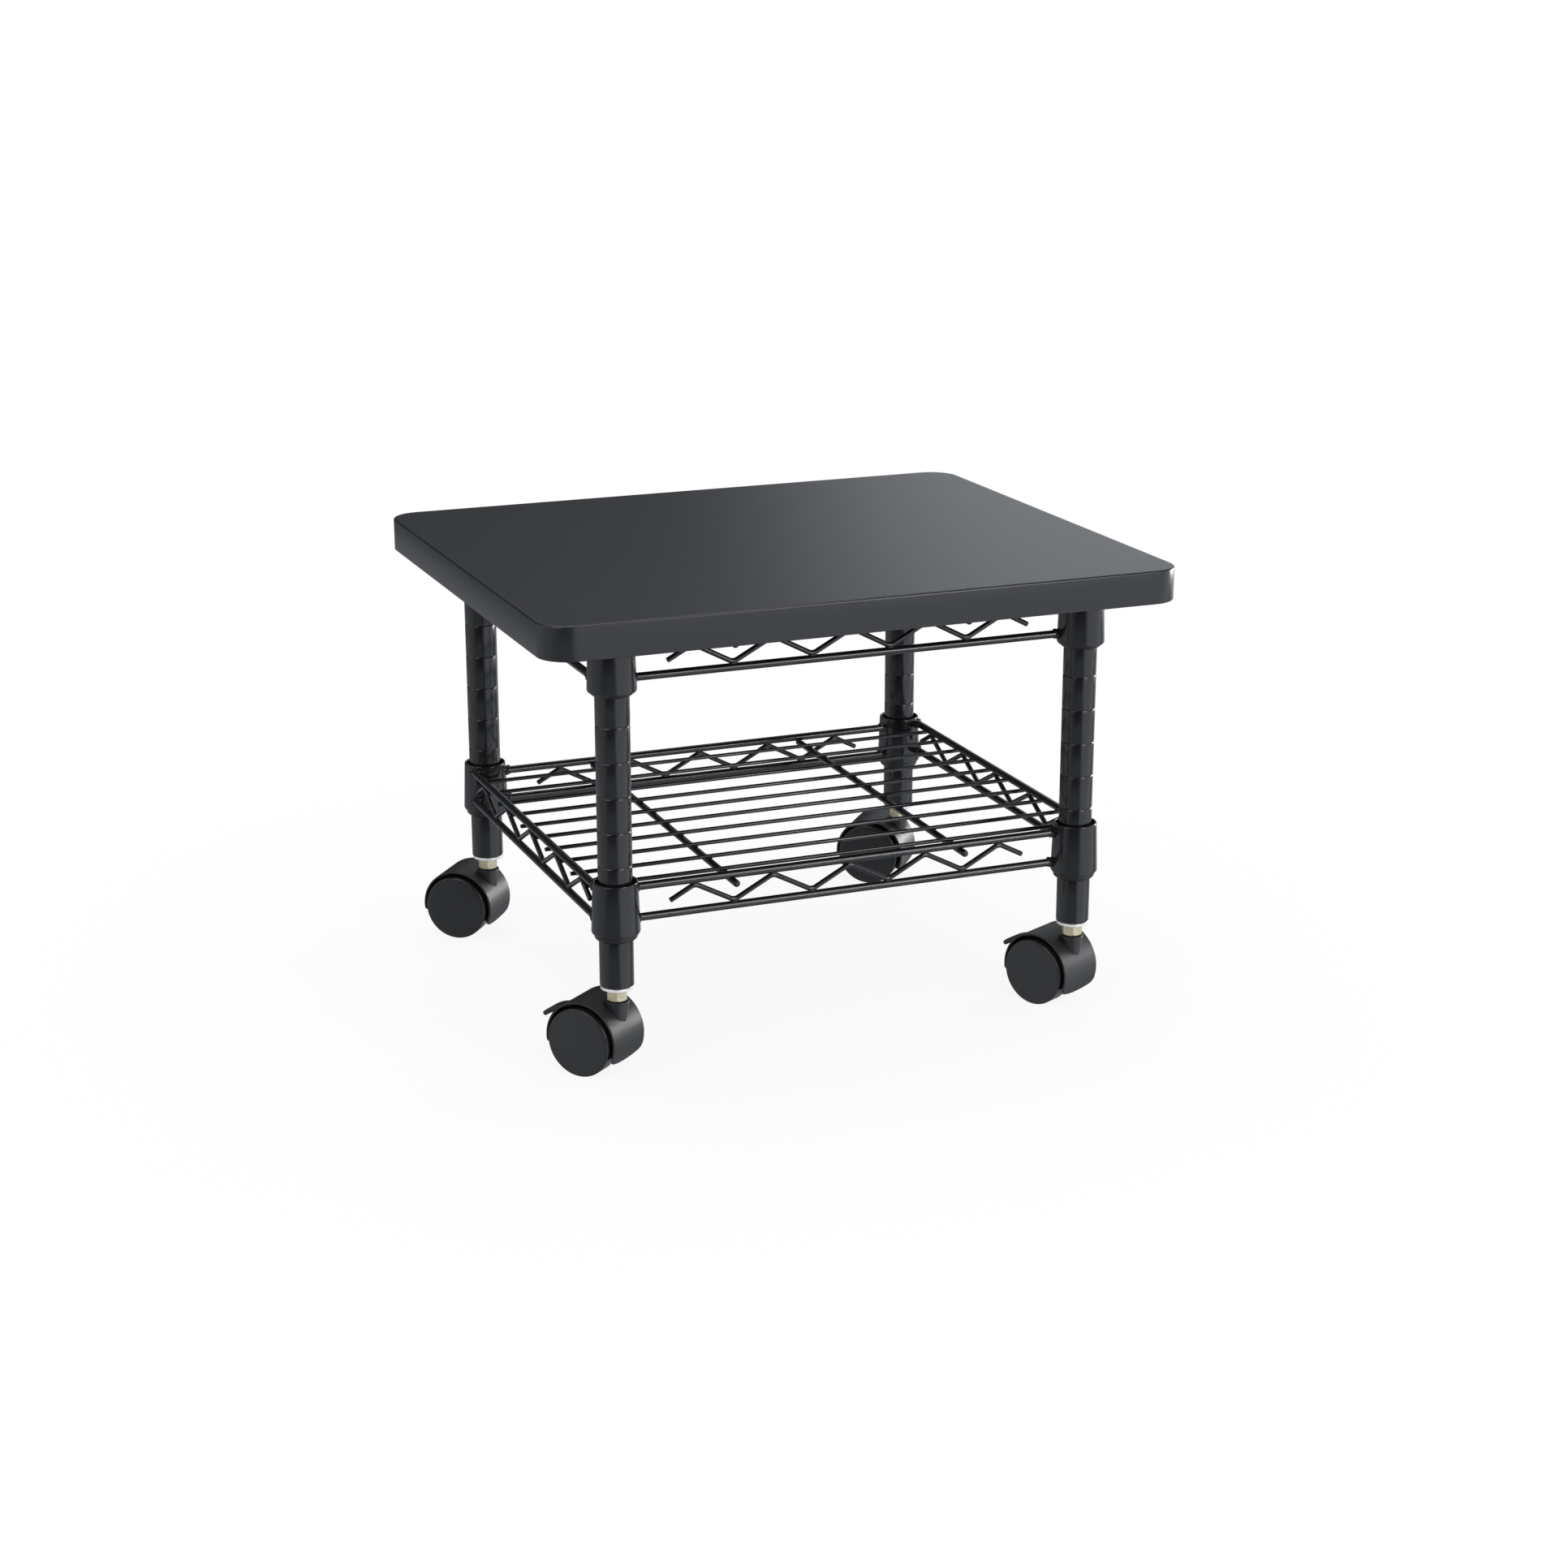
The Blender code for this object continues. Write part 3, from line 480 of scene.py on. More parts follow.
def board_shell():
    """The board's upright section, as insets and heights, carried round its rounded plan."""
    low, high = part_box("tabletop")
    half_x = (high.x - low.x) / 2
    half_y = (high.y - low.y) / 2
    ease = sizes().edge_ease
    foot = 0.6 * MM
    flat = 4 * MM
    lip = sizes().lip_width
    ceiling = low.z + sizes().lip_height
    section = outline(
        [(flat, high.z)],
        quarter((ease, high.z - ease), ease, 90, 180),
        quarter((foot, low.z + foot), foot, 180, 270, 4),
        [(lip, low.z), (lip, ceiling), (lip + flat, ceiling)],
    )
    corner = sizes().plan_corner
    rings = []
    for inset, height in section:
        plan = rounded_plan(half_x - inset, half_y - inset, max(corner - inset, foot))
        rings.append(points_at(*plan, height))
    return shell(np.array(rings)[:, ::-1])


# Posts, inserts and stems


def post_profile(corner):
    """A tube's section: rounded ends, and a cosine dip of the outer wall at every groove."""
    low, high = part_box(f"post_{corner}")
    outer = post_radius()
    inner = outer - sizes().post_wall
    rounding = 0.5 * MM
    half = sizes().groove_width / 2
    share = np.linspace(-1.0, 1.0, 9)
    dip = sizes().groove_depth * (0.5 + 0.5 * np.cos(np.pi * share))
    count = int((high.z - low.z - sizes().lowest_groove) / INCH) + 1
    heights = low.z + sizes().lowest_groove + np.arange(count)[::-1] * INCH
    grooves = np.column_stack([np.tile(outer - dip, count), (heights[:, None] - half * share).ravel()])
    return outline(
        [(inner, high.z), (outer - rounding, high.z), (outer, high.z - rounding)],
        grooves,
        quarter((outer - rounding, low.z + rounding), rounding, 0, -90, 4),
        [(inner, low.z)],
    )


def insert_profile(corner):
    """A flange with round edges under a plug, both with the bore of the stem."""
    low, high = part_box(f"post_insert_{corner}")
    flange = (high.x - low.x) / 2
    flange_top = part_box(f"post_{corner}")[0].z - sizes().clearance
    plug = post_radius() - sizes().post_wall - sizes().clearance
    bore = 4.3 * MM
    rounding = 0.7 * MM
    return outline(
        [(bore, high.z), (plug, high.z), (plug, flange_top)],
        quarter((flange - rounding, flange_top - rounding), rounding, 90, 0, 4),
        quarter((flange - rounding, low.z + rounding), rounding, 0, -90, 4),
        [(bore, low.z)],
    )


def hexagon_shell(corner):
    """A hexagon between a pin and a thread: the lesser of the hexagon's radius at each angle, which is its
    flat's over cos a, and a limit that draws its ends in."""
    low = neck_top(corner) + sizes().stem_gap
    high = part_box(f"post_insert_{corner}")[0].z - sizes().clearance
    stem_low, stem_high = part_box(f"caster_stem_{corner}")
    corner_radius = sizes().hexagon / 2
    thread = 4.0 * MM
    pin = 3.7 * MM
    chamfer = 0.9 * MM
    angle = full_turn(STEM_SIDES)
    to_flat = np.mod(angle - STEM_TURN, np.pi / 3) - np.pi / 6
    hexagon = corner_radius * math.cos(math.pi / 6) / np.cos(to_flat)
    rise = np.array([0.0, 0.5, 1.0]) * chamfer
    limit = corner_radius - np.array([1.0, 0.45, 0.0]) * chamfer
    limit = np.concatenate([[pin, pin], limit, limit[::-1], [thread, thread]])
    heights = np.concatenate([[stem_low.z, low], low + rise, high - rise[::-1], [high, stem_high.z]])
    radius = np.minimum(hexagon, limit[:, None])
    return shell(about_axis(radius, heights[:, None], angle, post_place(corner)))


# Wire shelves


def collar_profile(rim):
    """A cone with a full round at its rim, a round foot and an even wall."""
    wall = sizes().collar_wall
    foot = 2.2 * MM
    low = rim - collar_height()
    low_radius = collar_radius(collar_height())
    return outline(
        quarter((collar_radius(0.0) - wall / 2, rim - wall / 2), wall / 2, 180, 0, 9),
        quarter((low_radius - foot, low + foot), foot, 0, -90, 7),
        [(low_radius - wall - foot / 3, low)],
    )


def sleeve_shell(corner, rim):
    """A tapered ring with a lip below the collar, carried round from one side of its slit to the other."""
    gap = sizes().clearance
    wall = sizes().collar_wall
    bore = post_radius() + gap
    below = 4.4 * MM
    rounding = 3.4 * MM
    foot_ease = 0.3 * MM
    slit = 1.0 * MM / bore
    top = rim - sizes().sleeve_recess
    low = rim - collar_height() - below
    lip = collar_radius(collar_height()) - wall - gap
    section = outline(
        [(bore, top), (collar_radius(sizes().sleeve_recess) - wall - gap, top)],
        quarter((lip - rounding, low + rounding), rounding, 0, -75),
        [(bore + foot_ease, low)],
    )[::-1]
    place = post_place(corner)
    start = 0.0 if place[0] < 0 else np.pi
    angle = start + np.linspace(slit, 2 * np.pi - slit, TUBE_SIDES)[:, None]
    return shell(about_axis(section[:, 0], section[:, 1], angle, place))


class ShelfSide:
    """One side of a shelf: an upright plane at a depth on the X axis (0) or the Y axis (1)."""

    def __init__(self, depth_axis, depth):
        self.depth_axis = depth_axis
        self.depth = depth
        self.normal = np.eye(3)[depth_axis]

    def points(self, along, height, across=0.0):
        """Points along the side, at a height and at a distance across the plane."""
        depth = self.depth + across
        plan = (depth, along) if self.depth_axis == 0 else (along, depth)
        return points_at(*plan, height)


def zigzag_path(reach):
    """(along, height) of a zigzag: arcs at the bends, joined by the straight tangents between them."""
    bend = sizes().zigzag_bend
    half_pitch = sizes().zigzag_pitch / 2
    bite = 0.6 * MM
    span = sizes().rail_spread - sizes().rail - sizes().zigzag + bite
    rise = span - 2 * bend
    slope = math.atan2(rise, half_pitch) + math.asin(2 * bend / math.hypot(half_pitch, rise))
    tops = 1 + 2 * int((reach - sizes().zigzag_tail) / sizes().zigzag_pitch)
    bends = np.arange(2 * tops - 1)
    along = (bends - (tops - 1)) * half_pitch
    upward = np.where(bends % 2 == 0, 1.0, -1.0)
    angle = np.linspace(-slope, slope, 9)
    s = along[:, None] + bend * np.sin(angle)
    z = upward[:, None] * (span / 2 - bend + bend * np.cos(angle))
    points = np.column_stack([s.ravel(), z.ravel()])
    leg = sizes().zigzag_tail - bend * math.sin(slope)
    drop = -leg * math.tan(slope)
    return np.concatenate([[points[0] + (-leg, drop)], points, [points[-1] + (leg, drop)]])


def zigzag_shells(side, reach, level):
    """A zigzag wire with a small flat bead where each bend touches a rail."""
    path = zigzag_path(reach)
    line = side.points(path[:, 0], path[:, 1] + level)
    half_pitch = sizes().zigzag_pitch / 2
    last = path[-1, 0] - sizes().zigzag_tail
    along = np.arange(-last, last + half_pitch / 2, half_pitch)
    touch = (sizes().rail_spread - sizes().rail) / 2
    up = np.where(np.arange(len(along)) % 2 == 0, touch, -touch)
    weld_along = 3.2 * MM
    weld_across = 1.5 * MM
    weld_height = 1.1 * MM
    half_sizes = np.where(side.normal > 0, weld_across, (weld_along, weld_along, weld_height))
    beads = [bead(centre, half_sizes) for centre in side.points(along, level + up)]
    return [wire_shell(line, sizes().zigzag, WIRE_END, side.normal, WIRE_SIDES)] + beads


def to_collar(surface, offset, across):
    """Distance from a post's centre to its collar's circle along a line that passes it at a distance."""
    return np.sqrt(np.maximum(surface**2 - (abs(offset) + np.sign(offset) * across) ** 2, 0.0))


def rail_between_collars(side, offset, reach, height, surface):
    """A straight rail whose ends are coped to the collars: every point stops where the collar's circle, at
    its own distance from the collar's centre line, comes out to meet it, with a flare for the weld."""
    back = np.array([0.0, 0.3, 0.7, 1.3, 2.2, 3.2])[:, None] * MM
    radius = sizes().rail / 2 + sizes().weld_flare * (1 - back / back[-1]) ** 2
    angle = full_turn(RAIL_SIDES)
    across = radius * np.cos(angle)
    up = radius * np.sin(angle)
    near = -reach + to_collar(surface, offset, across) + back
    along = np.concatenate([near, -near[::-1]])
    across = np.concatenate([across, across[::-1]])
    up = np.concatenate([up, up[::-1]])
    grid = side.points(along, height + up, across)
    return shell(grid if side.depth_axis == 0 else grid[:, ::-1])


def uneven(number, middle, swing, step):
    """Lengths about a middle one: middle + swing sin(step n)."""
    return middle + swing * np.sin(step * number)


def collar_welds(side, offset, reach, height, surface):
    """Uneven beads of weld round both ends of a rail: eight lumps whose sizes, and whose distances from the
    collar, follow sines of their number."""
    number = np.arange(8)
    angle = full_turn(len(number))
    sunk = 0.2 * MM
    radius = sizes().rail / 2 - sunk
    size = uneven(number, middle=1.35 * MM, swing=0.4 * MM, step=1.7)
    away = uneven(number, middle=1.8 * MM, swing=1.1 * MM, step=2.4)
    across = radius * np.cos(angle)
    along = reach - to_collar(surface, offset, across) - away
    up = height + radius * np.sin(angle)
    centres = np.concatenate([side.points(sign * along, up, across) for sign in (-1.0, 1.0)])
    return [bead(centre, half) for centre, half in zip(centres, np.tile(size, 2))]


def truss_shells(side, offset, reach, levels, rim):
    """An upper and a lower rail between two collars, with the zigzag between them."""
    bite = 0.3 * MM
    shells = []
    for level in levels:
        ends = (side, offset, reach, level, collar_radius(rim - level) - bite)
        shells += [rail_between_collars(*ends)] + collar_welds(*ends)
    return shells + zigzag_shells(side, reach - collar_radius(collar_height()), sum(levels) / 2)


def end_frame_shells(end, rim):
    """The two collars at one end of a shelf, with the side rails and their zigzag."""
    places = [post_place(f"{row}_{end}") for row in ("front", "rear")]
    post_x, post_y = places[1]
    offset = math.copysign(sizes().side_rail_outset, post_x)
    upper = rim - sizes().side_rail_drop
    collars = [turned(collar_profile(rim), TUBE_SIDES, place) for place in places]
    levels = (upper, upper - sizes().rail_spread)
    return collars + truss_shells(ShelfSide(0, post_x + offset), offset, post_y, levels, rim)


def cross_truss_shells(shelf, row, rim):
    """The rails at the front or the rear of a shelf, with their zigzag."""
    low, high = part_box(f"{shelf}_shelf_{row}_truss")
    rail_y = (low.y + high.y) / 2
    post_x, post_y = post_place(f"{row}_right")
    levels = (high.z - sizes().rail / 2, low.z + sizes().rail / 2)
    return truss_shells(ShelfSide(1, rail_y), rail_y - post_y, post_x, levels, rim)


def deck_shells(shelf):
    """Deck wires along X over two supports along Y, with a small bead at every crossing."""
    low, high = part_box(f"{shelf}_shelf_deck")
    wire = sizes().deck_wire
    support = sizes().support
    level = high.z - wire / 2
    under = low.z + support / 2
    pitch = sizes().zigzag_pitch / 2
    rail_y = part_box(f"{shelf}_shelf_rear_truss")[0].y
    each_side = int((rail_y - wire / 2) / pitch + 0.5)
    rows = (np.arange(-each_side, each_side) + 0.5) * pitch
    shells = []
    for y in rows:
        path = np.linspace((low.x, y, level), (high.x, y, level), 3)
        shells.append(wire_shell(path, wire, WIRE_END, UP, DECK_SIDES))
    weld = np.array([2.4, 2.4, 0.8]) * MM
    sunk = 0.2 * MM
    support_x = 3 * pitch
    for x in (-support_x, support_x):
        path = np.linspace((x, low.y, under), (x, high.y, under), 3)
        shells.append(wire_shell(path, support, SUPPORT_END, UP, WIRE_SIDES, steps=6))
        shells += [bead((x, y, under + support / 2 - sunk), weld) for y in rows]
    return shells


# Casters


def caster_turned(points, corner):
    """Points of a caster that trails towards -X from the origin, turned to its heading under its post."""
    turn = heading(corner)
    place = post_place(corner)
    x = place[0] + points[..., 0] * math.cos(turn) - points[..., 1] * math.sin(turn)
    y = place[1] + points[..., 0] * math.sin(turn) + points[..., 1] * math.cos(turn)
    return points_at(x, y, points[..., 2])


def hood_points(across, radius, angle):
    """Points about the hood's middle: x = R sin a and z = R cos a, at a distance across the mid plane."""
    x = sizes().hood_lead - sizes().trail + radius * np.sin(angle)
    return points_at(x, across, axle_height() + sizes().hood_lift + radius * np.cos(angle))


def hood_ends(radius):
    """Angles from the top at which the hood ends, on the stem's side and at the tail."""
    stem = np.pi / 2 + math.asin((sizes().skirt_drop + sizes().hood_lift) / radius)
    tail = -np.pi / 2 - math.asin((sizes().tail_drop + sizes().hood_lift) / radius)
    return stem, tail


def fender_surface(corner):
    """The hood's outer skin: a cylinder about its middle, from the stem's side over the top to the tail. Its
    lower corners are round, the stem side's edge rises with the square of the distance from the mid plane,
    and where there is a brake, it has a slot for the lever."""
    radius = sizes().hood_radius
    half = sizes().hood_half_width
    stem_end, tail_end = hood_ends(radius)
    skirt = math.radians(100)
    turn = math.radians(60)
    rounding = 3.2 * MM
    inner = np.linspace(-SLOT_HALF_WIDTH, SLOT_HALF_WIDTH, 9)
    outer = SLOT_HALF_WIDTH + (half - SLOT_HALF_WIDTH) * np.sin(np.linspace(0, np.pi / 2, 16))[1:]
    across = np.concatenate([-outer[::-1], inner, outer])
    around = outline(
        np.linspace(stem_end, skirt, 5),
        np.linspace(skirt, SLOT_TOP, 46)[1:],
        np.linspace(SLOT_TOP, SLOT_BOTTOM, 12)[1:],
        np.linspace(SLOT_BOTTOM, tail_end, 14)[1:],
    )
    past = np.maximum(abs(across) - (half - rounding), 0.0)
    corner_rise = rounding - np.sqrt(np.maximum(rounding**2 - past**2, 0.0))
    skirt_rise = corner_rise + sizes().skirt_curve * (across / half) ** 2
    share_stem = np.clip((around - turn) / (stem_end - turn), 0, 1)[:, None]
    share_tail = np.clip((around + turn) / (tail_end + turn), 0, 1)[:, None]
    angle = around[:, None] - share_stem * skirt_rise / (radius * math.cos(stem_end - np.pi / 2))
    angle = angle + share_tail * corner_rise / radius
    points = caster_turned(hood_points(across, radius, angle), corner).reshape(-1, 3)
    quads = grid_quads(len(around), len(across), False)
    if corner in BRAKED:
        rows, columns = np.divmod(quads[:, 0], len(across))
        in_rows = (around[rows] <= SLOT_TOP + TINY) & (around[rows + 1] >= SLOT_BOTTOM - TINY)
        slot = SLOT_HALF_WIDTH + TINY
        in_columns = (across[columns] >= -slot) & (across[columns + 1] <= slot)
        quads = quads[~(in_rows & in_columns)]
    used, quads = np.unique(quads, return_inverse=True)
    return points[used], quads.reshape(-1, 4), NO_ENDS


def web_plate(corner, low, high, notched):
    """A plate between the wheels: an arc and a chord in the upright plane, with a notch for the lever."""
    overlap = 0.2 * MM
    ease = 0.3 * MM
    notch_radius = 20.0 * MM
    radius = sizes().hood_radius - sizes().hood_wall + overlap
    stem, tail = hood_ends(radius)
    angle = np.linspace(stem, tail, 56)
    reach = radius
    if notched:
        before = np.linspace(stem, SLOT_TOP, 40)
        after = np.linspace(SLOT_BOTTOM, tail, 10)
        angle = np.concatenate([before, [SLOT_TOP, SLOT_BOTTOM], after])
        reach = np.full(len(angle), radius)
        reach[len(before) : len(before) + 2] = notch_radius
    rows = [(low, ease), (low + ease, 0.0), (high - ease, 0.0), (high, ease)]
    grid = np.array([hood_points(across, reach - inset, angle) for across, inset in rows])
    return shell(caster_turned(grid, corner))


def web_shells(corner):
    """The web between the wheels: one plate, or with a brake two cheeks and a notched core."""
    half = 7.1 * MM
    cheek = 0.8 * MM
    core = half - cheek
    if corner not in BRAKED:
        return [web_plate(corner, -half, half, False)]
    plates = [(-half, -core, False), (-core, core, True), (core, half, False)]
    return [web_plate(corner, *plate) for plate in plates]


def neck_shell(corner):
    """The socket of the stem: a cone that narrows downwards into the hood, with a round rim and a bore."""
    top = neck_top(corner)
    depth = 16.6 * MM
    low = top - depth
    rounding = 0.9 * MM
    outer = 8.7 * MM
    foot = 6.2 * MM
    bore = 4.0 * MM
    profile = outline(
        [(bore, top)],
        quarter((outer - rounding, top - rounding), rounding, 90, 5),
        [(foot, low), (bore, low)],
    )
    return turned(profile, NECK_SIDES, post_place(corner))


def make_hood(corner):
    """A hood in two pieces: the fender, with a wall and round rims, and a core of the web and the neck."""
    look = (textured_nylon(), f"caster_{corner}", "hood_nylon")
    fender = make_piece(f"hood_{corner}", [fender_surface(corner)], *look, f"caster_hood_{corner}")
    wall = fender.modifiers.new("wall", "SOLIDIFY")
    wall.thickness = sizes().hood_wall
    wall.offset = -1.0
    wall.use_even_offset = True
    edge = fender.modifiers.new("edge", "BEVEL")
    edge.width = 0.6 * MM
    edge.segments = 3
    edge.limit_method = "ANGLE"
    edge.angle_limit = math.radians(50)
    make_piece(f"hood_core_{corner}", web_shells(corner) + [neck_shell(corner)], *look)


def wheel_shell(corner, number):
    """A wheel's section carried round the axle: crowned face, round shoulder, plain tread and inner face."""
    side = -1.0 if number == 1 else 1.0
    radius = axle_height()
    inner = 7.4 * MM
    outer = 22.0 * MM
    shoulder = 1.2 * MM
    crown = 0.4 * MM
    ease = 0.8 * MM
    reach = np.array([0.5, 6.0, 12.0, 17.0, 21.0]) * MM
    hub = 5.0 * MM
    section = outline(
        np.column_stack([reach, outer - crown * (reach / radius) ** 2]),
        quarter((radius - shoulder, outer - crown - shoulder), shoulder, 84, 0, 8),
        quarter((radius - ease, inner + ease), ease, 0, -90, 4),
        [(hub, inner), (reach[0], inner)],
    )
    angle = full_turn(WHEEL_SIDES)
    away, across = section[:, :1], section[:, 1:]
    x = -sizes().trail + away * np.sin(angle)
    grid = caster_turned(points_at(x, side * across, radius + away * np.cos(angle)), corner)
    return shell(grid if side < 0 else grid[:, ::-1])


def smooth_line(points, steps):
    """A smooth curve through points: cubic pieces whose slopes are half the step between the neighbours."""
    slope = np.gradient(points, axis=0)
    share = np.linspace(0.0, 1.0, steps, endpoint=False)[None, :, None]
    blend = 3 * share**2 - 2 * share**3
    curve = points[:-1, None] * (1 - blend) + points[1:, None] * blend
    curve = curve + slope[:-1, None] * (share**3 - 2 * share**2 + share)
    curve = curve + slope[1:, None] * (share**3 - share**2)
    return np.concatenate([curve.reshape(-1, 2), points[-1:]])


def lever_shell(corner):
    """A tongue with a round tip: a curve with a thickness that shrinks to the tip, carried across its width
    with its edges drawn in."""
    half_width = 6.0 * MM
    root_half = 2.3 * MM
    tip_half = 1.8 * MM
    ease = 0.8 * MM
    bends = np.array([(18.5, 16.8), (24.5, 16.8), (29.8, 15.3), (34.6, 12.8), (38.3, 10.3)]) * MM
    middle = smooth_line(bends, 8)
    half = np.linspace(root_half, tip_half, len(middle))[:, None]
    run = unit(np.gradient(middle, axis=0))
    normal = np.column_stack([-run[:, 1], run[:, 0]])
    tip_angle = np.linspace(np.pi / 2, -np.pi / 2, 9)[1:-1, None]
    tip = middle[-1] + half[-1] * (np.cos(tip_angle) * run[-1] + np.sin(tip_angle) * normal[-1])
    edge = outline(middle + half * normal, tip, (middle - half * normal)[::-1])
    spine = outline(middle, np.repeat(middle[-1:], len(tip), axis=0), middle[::-1])
    angle = np.linspace(0.0, np.pi / 2, 4)
    inset = ease * (1 - np.sin(angle))
    place = half_width - ease * (1 - np.cos(angle))
    across = np.concatenate([-place, place[::-1]])[:, None]
    shrink = np.concatenate([inset, inset[::-1]])[:, None, None]
    rows = edge + shrink * unit(spine - edge)
    grid = points_at(-sizes().trail - rows[..., 0], across, axle_height() + rows[..., 1])
    return shell(caster_turned(grid, corner)[:, ::-1])


# Operators


class STAND_OT_tabletop(bpy.types.Operator):
    """Make the board with its round corners, eased edges and lip"""

    bl_idname = "stand.tabletop"
    bl_label = "Tabletop"

    def execute(self, context):
        look = (charcoal_laminate(), "frame", "laminate")
        make_piece("board", [board_shell()], *look, "tabletop", sharp=50.0)
        return {"FINISHED"}


class STAND_OT_posts(bpy.types.Operator):
    """Make the ringed tube posts"""

    bl_idname = "stand.posts"
    bl_label = "Posts"

    def execute(self, context):
        look = (black_powder_coat(), "frame", "powder_coat")
        for corner in CORNERS:
            tube = turned(post_profile(corner), TUBE_SIDES, post_place(corner))
            make_piece(f"tube_{corner}", [tube], *look, f"post_{corner}", sharp=60.0)
        return {"FINISHED"}


class STAND_OT_foot_fittings(bpy.types.Operator):
    """Make the plated inserts at the foot of the posts and the caster stems in them"""

    bl_idname = "stand.foot_fittings"
    bl_label = "Inserts and stems"

    def execute(self, context):
        bright = (bright_zinc(), "frame", "bright_zinc")
        yellow = (yellow_zinc(), "frame", "yellow_zinc")
        for corner in CORNERS:
            ring = turned(insert_profile(corner), TUBE_SIDES, post_place(corner))
            make_piece(f"insert_{corner}", [ring], *bright, f"post_insert_{corner}")
            stem = hexagon_shell(corner)
            make_piece(f"stem_{corner}", [stem], *yellow, f"caster_stem_{corner}", sharp=20.0)
        return {"FINISHED"}


class STAND_OT_shelves(bpy.types.Operator):
    """Make both wire shelves: end frames with their collars, cross trusses and decks"""

    bl_idname = "stand.shelves"
    bl_label = "Wire shelves"

    def execute(self, context):
        for shelf in SHELVES:
            rim = rim_height(shelf)
            look = (black_powder_coat(), SHELF_BODY[shelf], "powder_coat")
            for end in ("left", "right"):
                shells = end_frame_shells(end, rim)
                make_piece(f"{shelf}_{end}_end_frame", shells, *look, f"{shelf}_shelf_{end}_end")
            for row in ("front", "rear"):
                shells = cross_truss_shells(shelf, row, rim)
                make_piece(f"{shelf}_{row}_rails", shells, *look, f"{shelf}_shelf_{row}_truss")
            make_piece(f"{shelf}_deck_wires", deck_shells(shelf), *look, f"{shelf}_shelf_deck")
        return {"FINISHED"}


class STAND_OT_sleeves(bpy.types.Operator):
    """Make the split sleeves between posts and collars"""

    bl_idname = "stand.sleeves"
    bl_label = "Sleeves"

    def execute(self, context):
        for shelf in SHELVES:
            look = (sleeve_plastic(), SHELF_BODY[shelf], "sleeve_plastic")
            for corner in CORNERS:
                ring = sleeve_shell(corner, sleeve_rim(shelf))
                make_piece(f"{shelf}_wedge_sleeve_{corner}", [ring], *look, f"{shelf}_sleeve_{corner}")
        return {"FINISHED"}


class STAND_OT_hoods(bpy.types.Operator):
    """Make the caster hoods with their necks"""

    bl_idname = "stand.hoods"
    bl_label = "Caster hoods"

    def execute(self, context):
        for corner in CORNERS:
            make_hood(corner)
        return {"FINISHED"}


class STAND_OT_wheels(bpy.types.Operator):
    """Make the twin wheels of every caster"""

    bl_idname = "stand.wheels"
    bl_label = "Wheels"

    def execute(self, context):
        for corner in CORNERS:
            for number in (1, 2):
                body = f"caster_wheel_{number}_{corner}"
                look = (smooth_nylon(), body, "wheel_nylon")
                make_piece(f"wheel_{number}_{corner}", [wheel_shell(corner, number)], *look, body)
        return {"FINISHED"}


class STAND_OT_levers(bpy.types.Operator):
    """Make the brake levers of the front casters"""

    bl_idname = "stand.levers"
    bl_label = "Brake levers"

    def execute(self, context):
        for corner in BRAKED:
            body = f"brake_lever_{corner}"
            look = (textured_nylon(), body, "hood_nylon")
            make_piece(f"lever_{corner}", [lever_shell(corner)], *look, body)
        return {"FINISHED"}


class STAND_OT_fixings(bpy.types.Operator):
    """Finish the clips, screws and axles, which keep their frame shapes"""

    bl_idname = "stand.fixings"
    bl_label = "Fixings and axles"

    def execute(self, context):
        materials = {"table_clip": black_powder_coat, "table_screw": bright_zinc, "caster_axle": drawn_steel}
        for name, obj in frame["nodes"].items():
            for prefix, material in materials.items():
                if name.startswith(prefix):
                    obj.data.materials.clear()
                    obj.data.materials.append(material())
        return {"FINISHED"}


# Stage

WALL_LEVEL = 0.05
WALL_TINT = (0.90, 0.94, 1.0, 1.0)
FILL_LEVEL = 0.45
# Azimuth and elevation of the middle, angles where a panel is full and where it ends, and its level.
WALL_PANELS = (
    (0.0, -90.0, 70.0, 88.0, 0.36),
    (-46.0, -8.0, 33.0, 55.0, 1.1),
    (165.0, -10.0, 15.0, 60.0, 0.55),
    (38.0, 4.0, 26.0, 33.0, 0.69),
    (60.0, 45.0, 30.0, 35.5, 0.27),
    (162.0, 33.0, 8.0, 16.0, 1.6),
)
# Place, width and height, and power in watts of every lamp. All of them face one target.
LAMPS = {
    "key panel": ((0.9, -2.0, 1.3), (1.0, 1.4), 13.0),
    "side panel": ((2.0, 0.35, 0.19), (1.0, 0.26), 27.0),
    "glint panel": ((0.91, -2.0, 0.56), (0.24, 0.24), 3.5),
    "fill panel": ((-2.0, -1.2, 1.2), (1.4, 1.4), 12.0),
    "top panel": ((0.0, 0.4, 2.2), (1.6, 1.6), 18.0),
}
LAMP_TARGET = (0.0, 0.0, 0.2)
FLOOR_REACH = 4.0
FLOOR_GAP = 0.2 * MM
# Share of plain white in the floor near the stand, and the distances between which it grows to all.
FLOOR_WHITE = 0.90
FLOOR_FADE = (0.25, 0.75)
# The camera's turn and dip are in degrees, its lens and sensor in millimetres.
CAMERA_PLACE = (-0.8019, -1.9914, 0.8029)
CAMERA_TURN = 22.22
CAMERA_DIP = 16.93
CAMERA_LENS = 66.86
CAMERA_SENSOR = 36.0


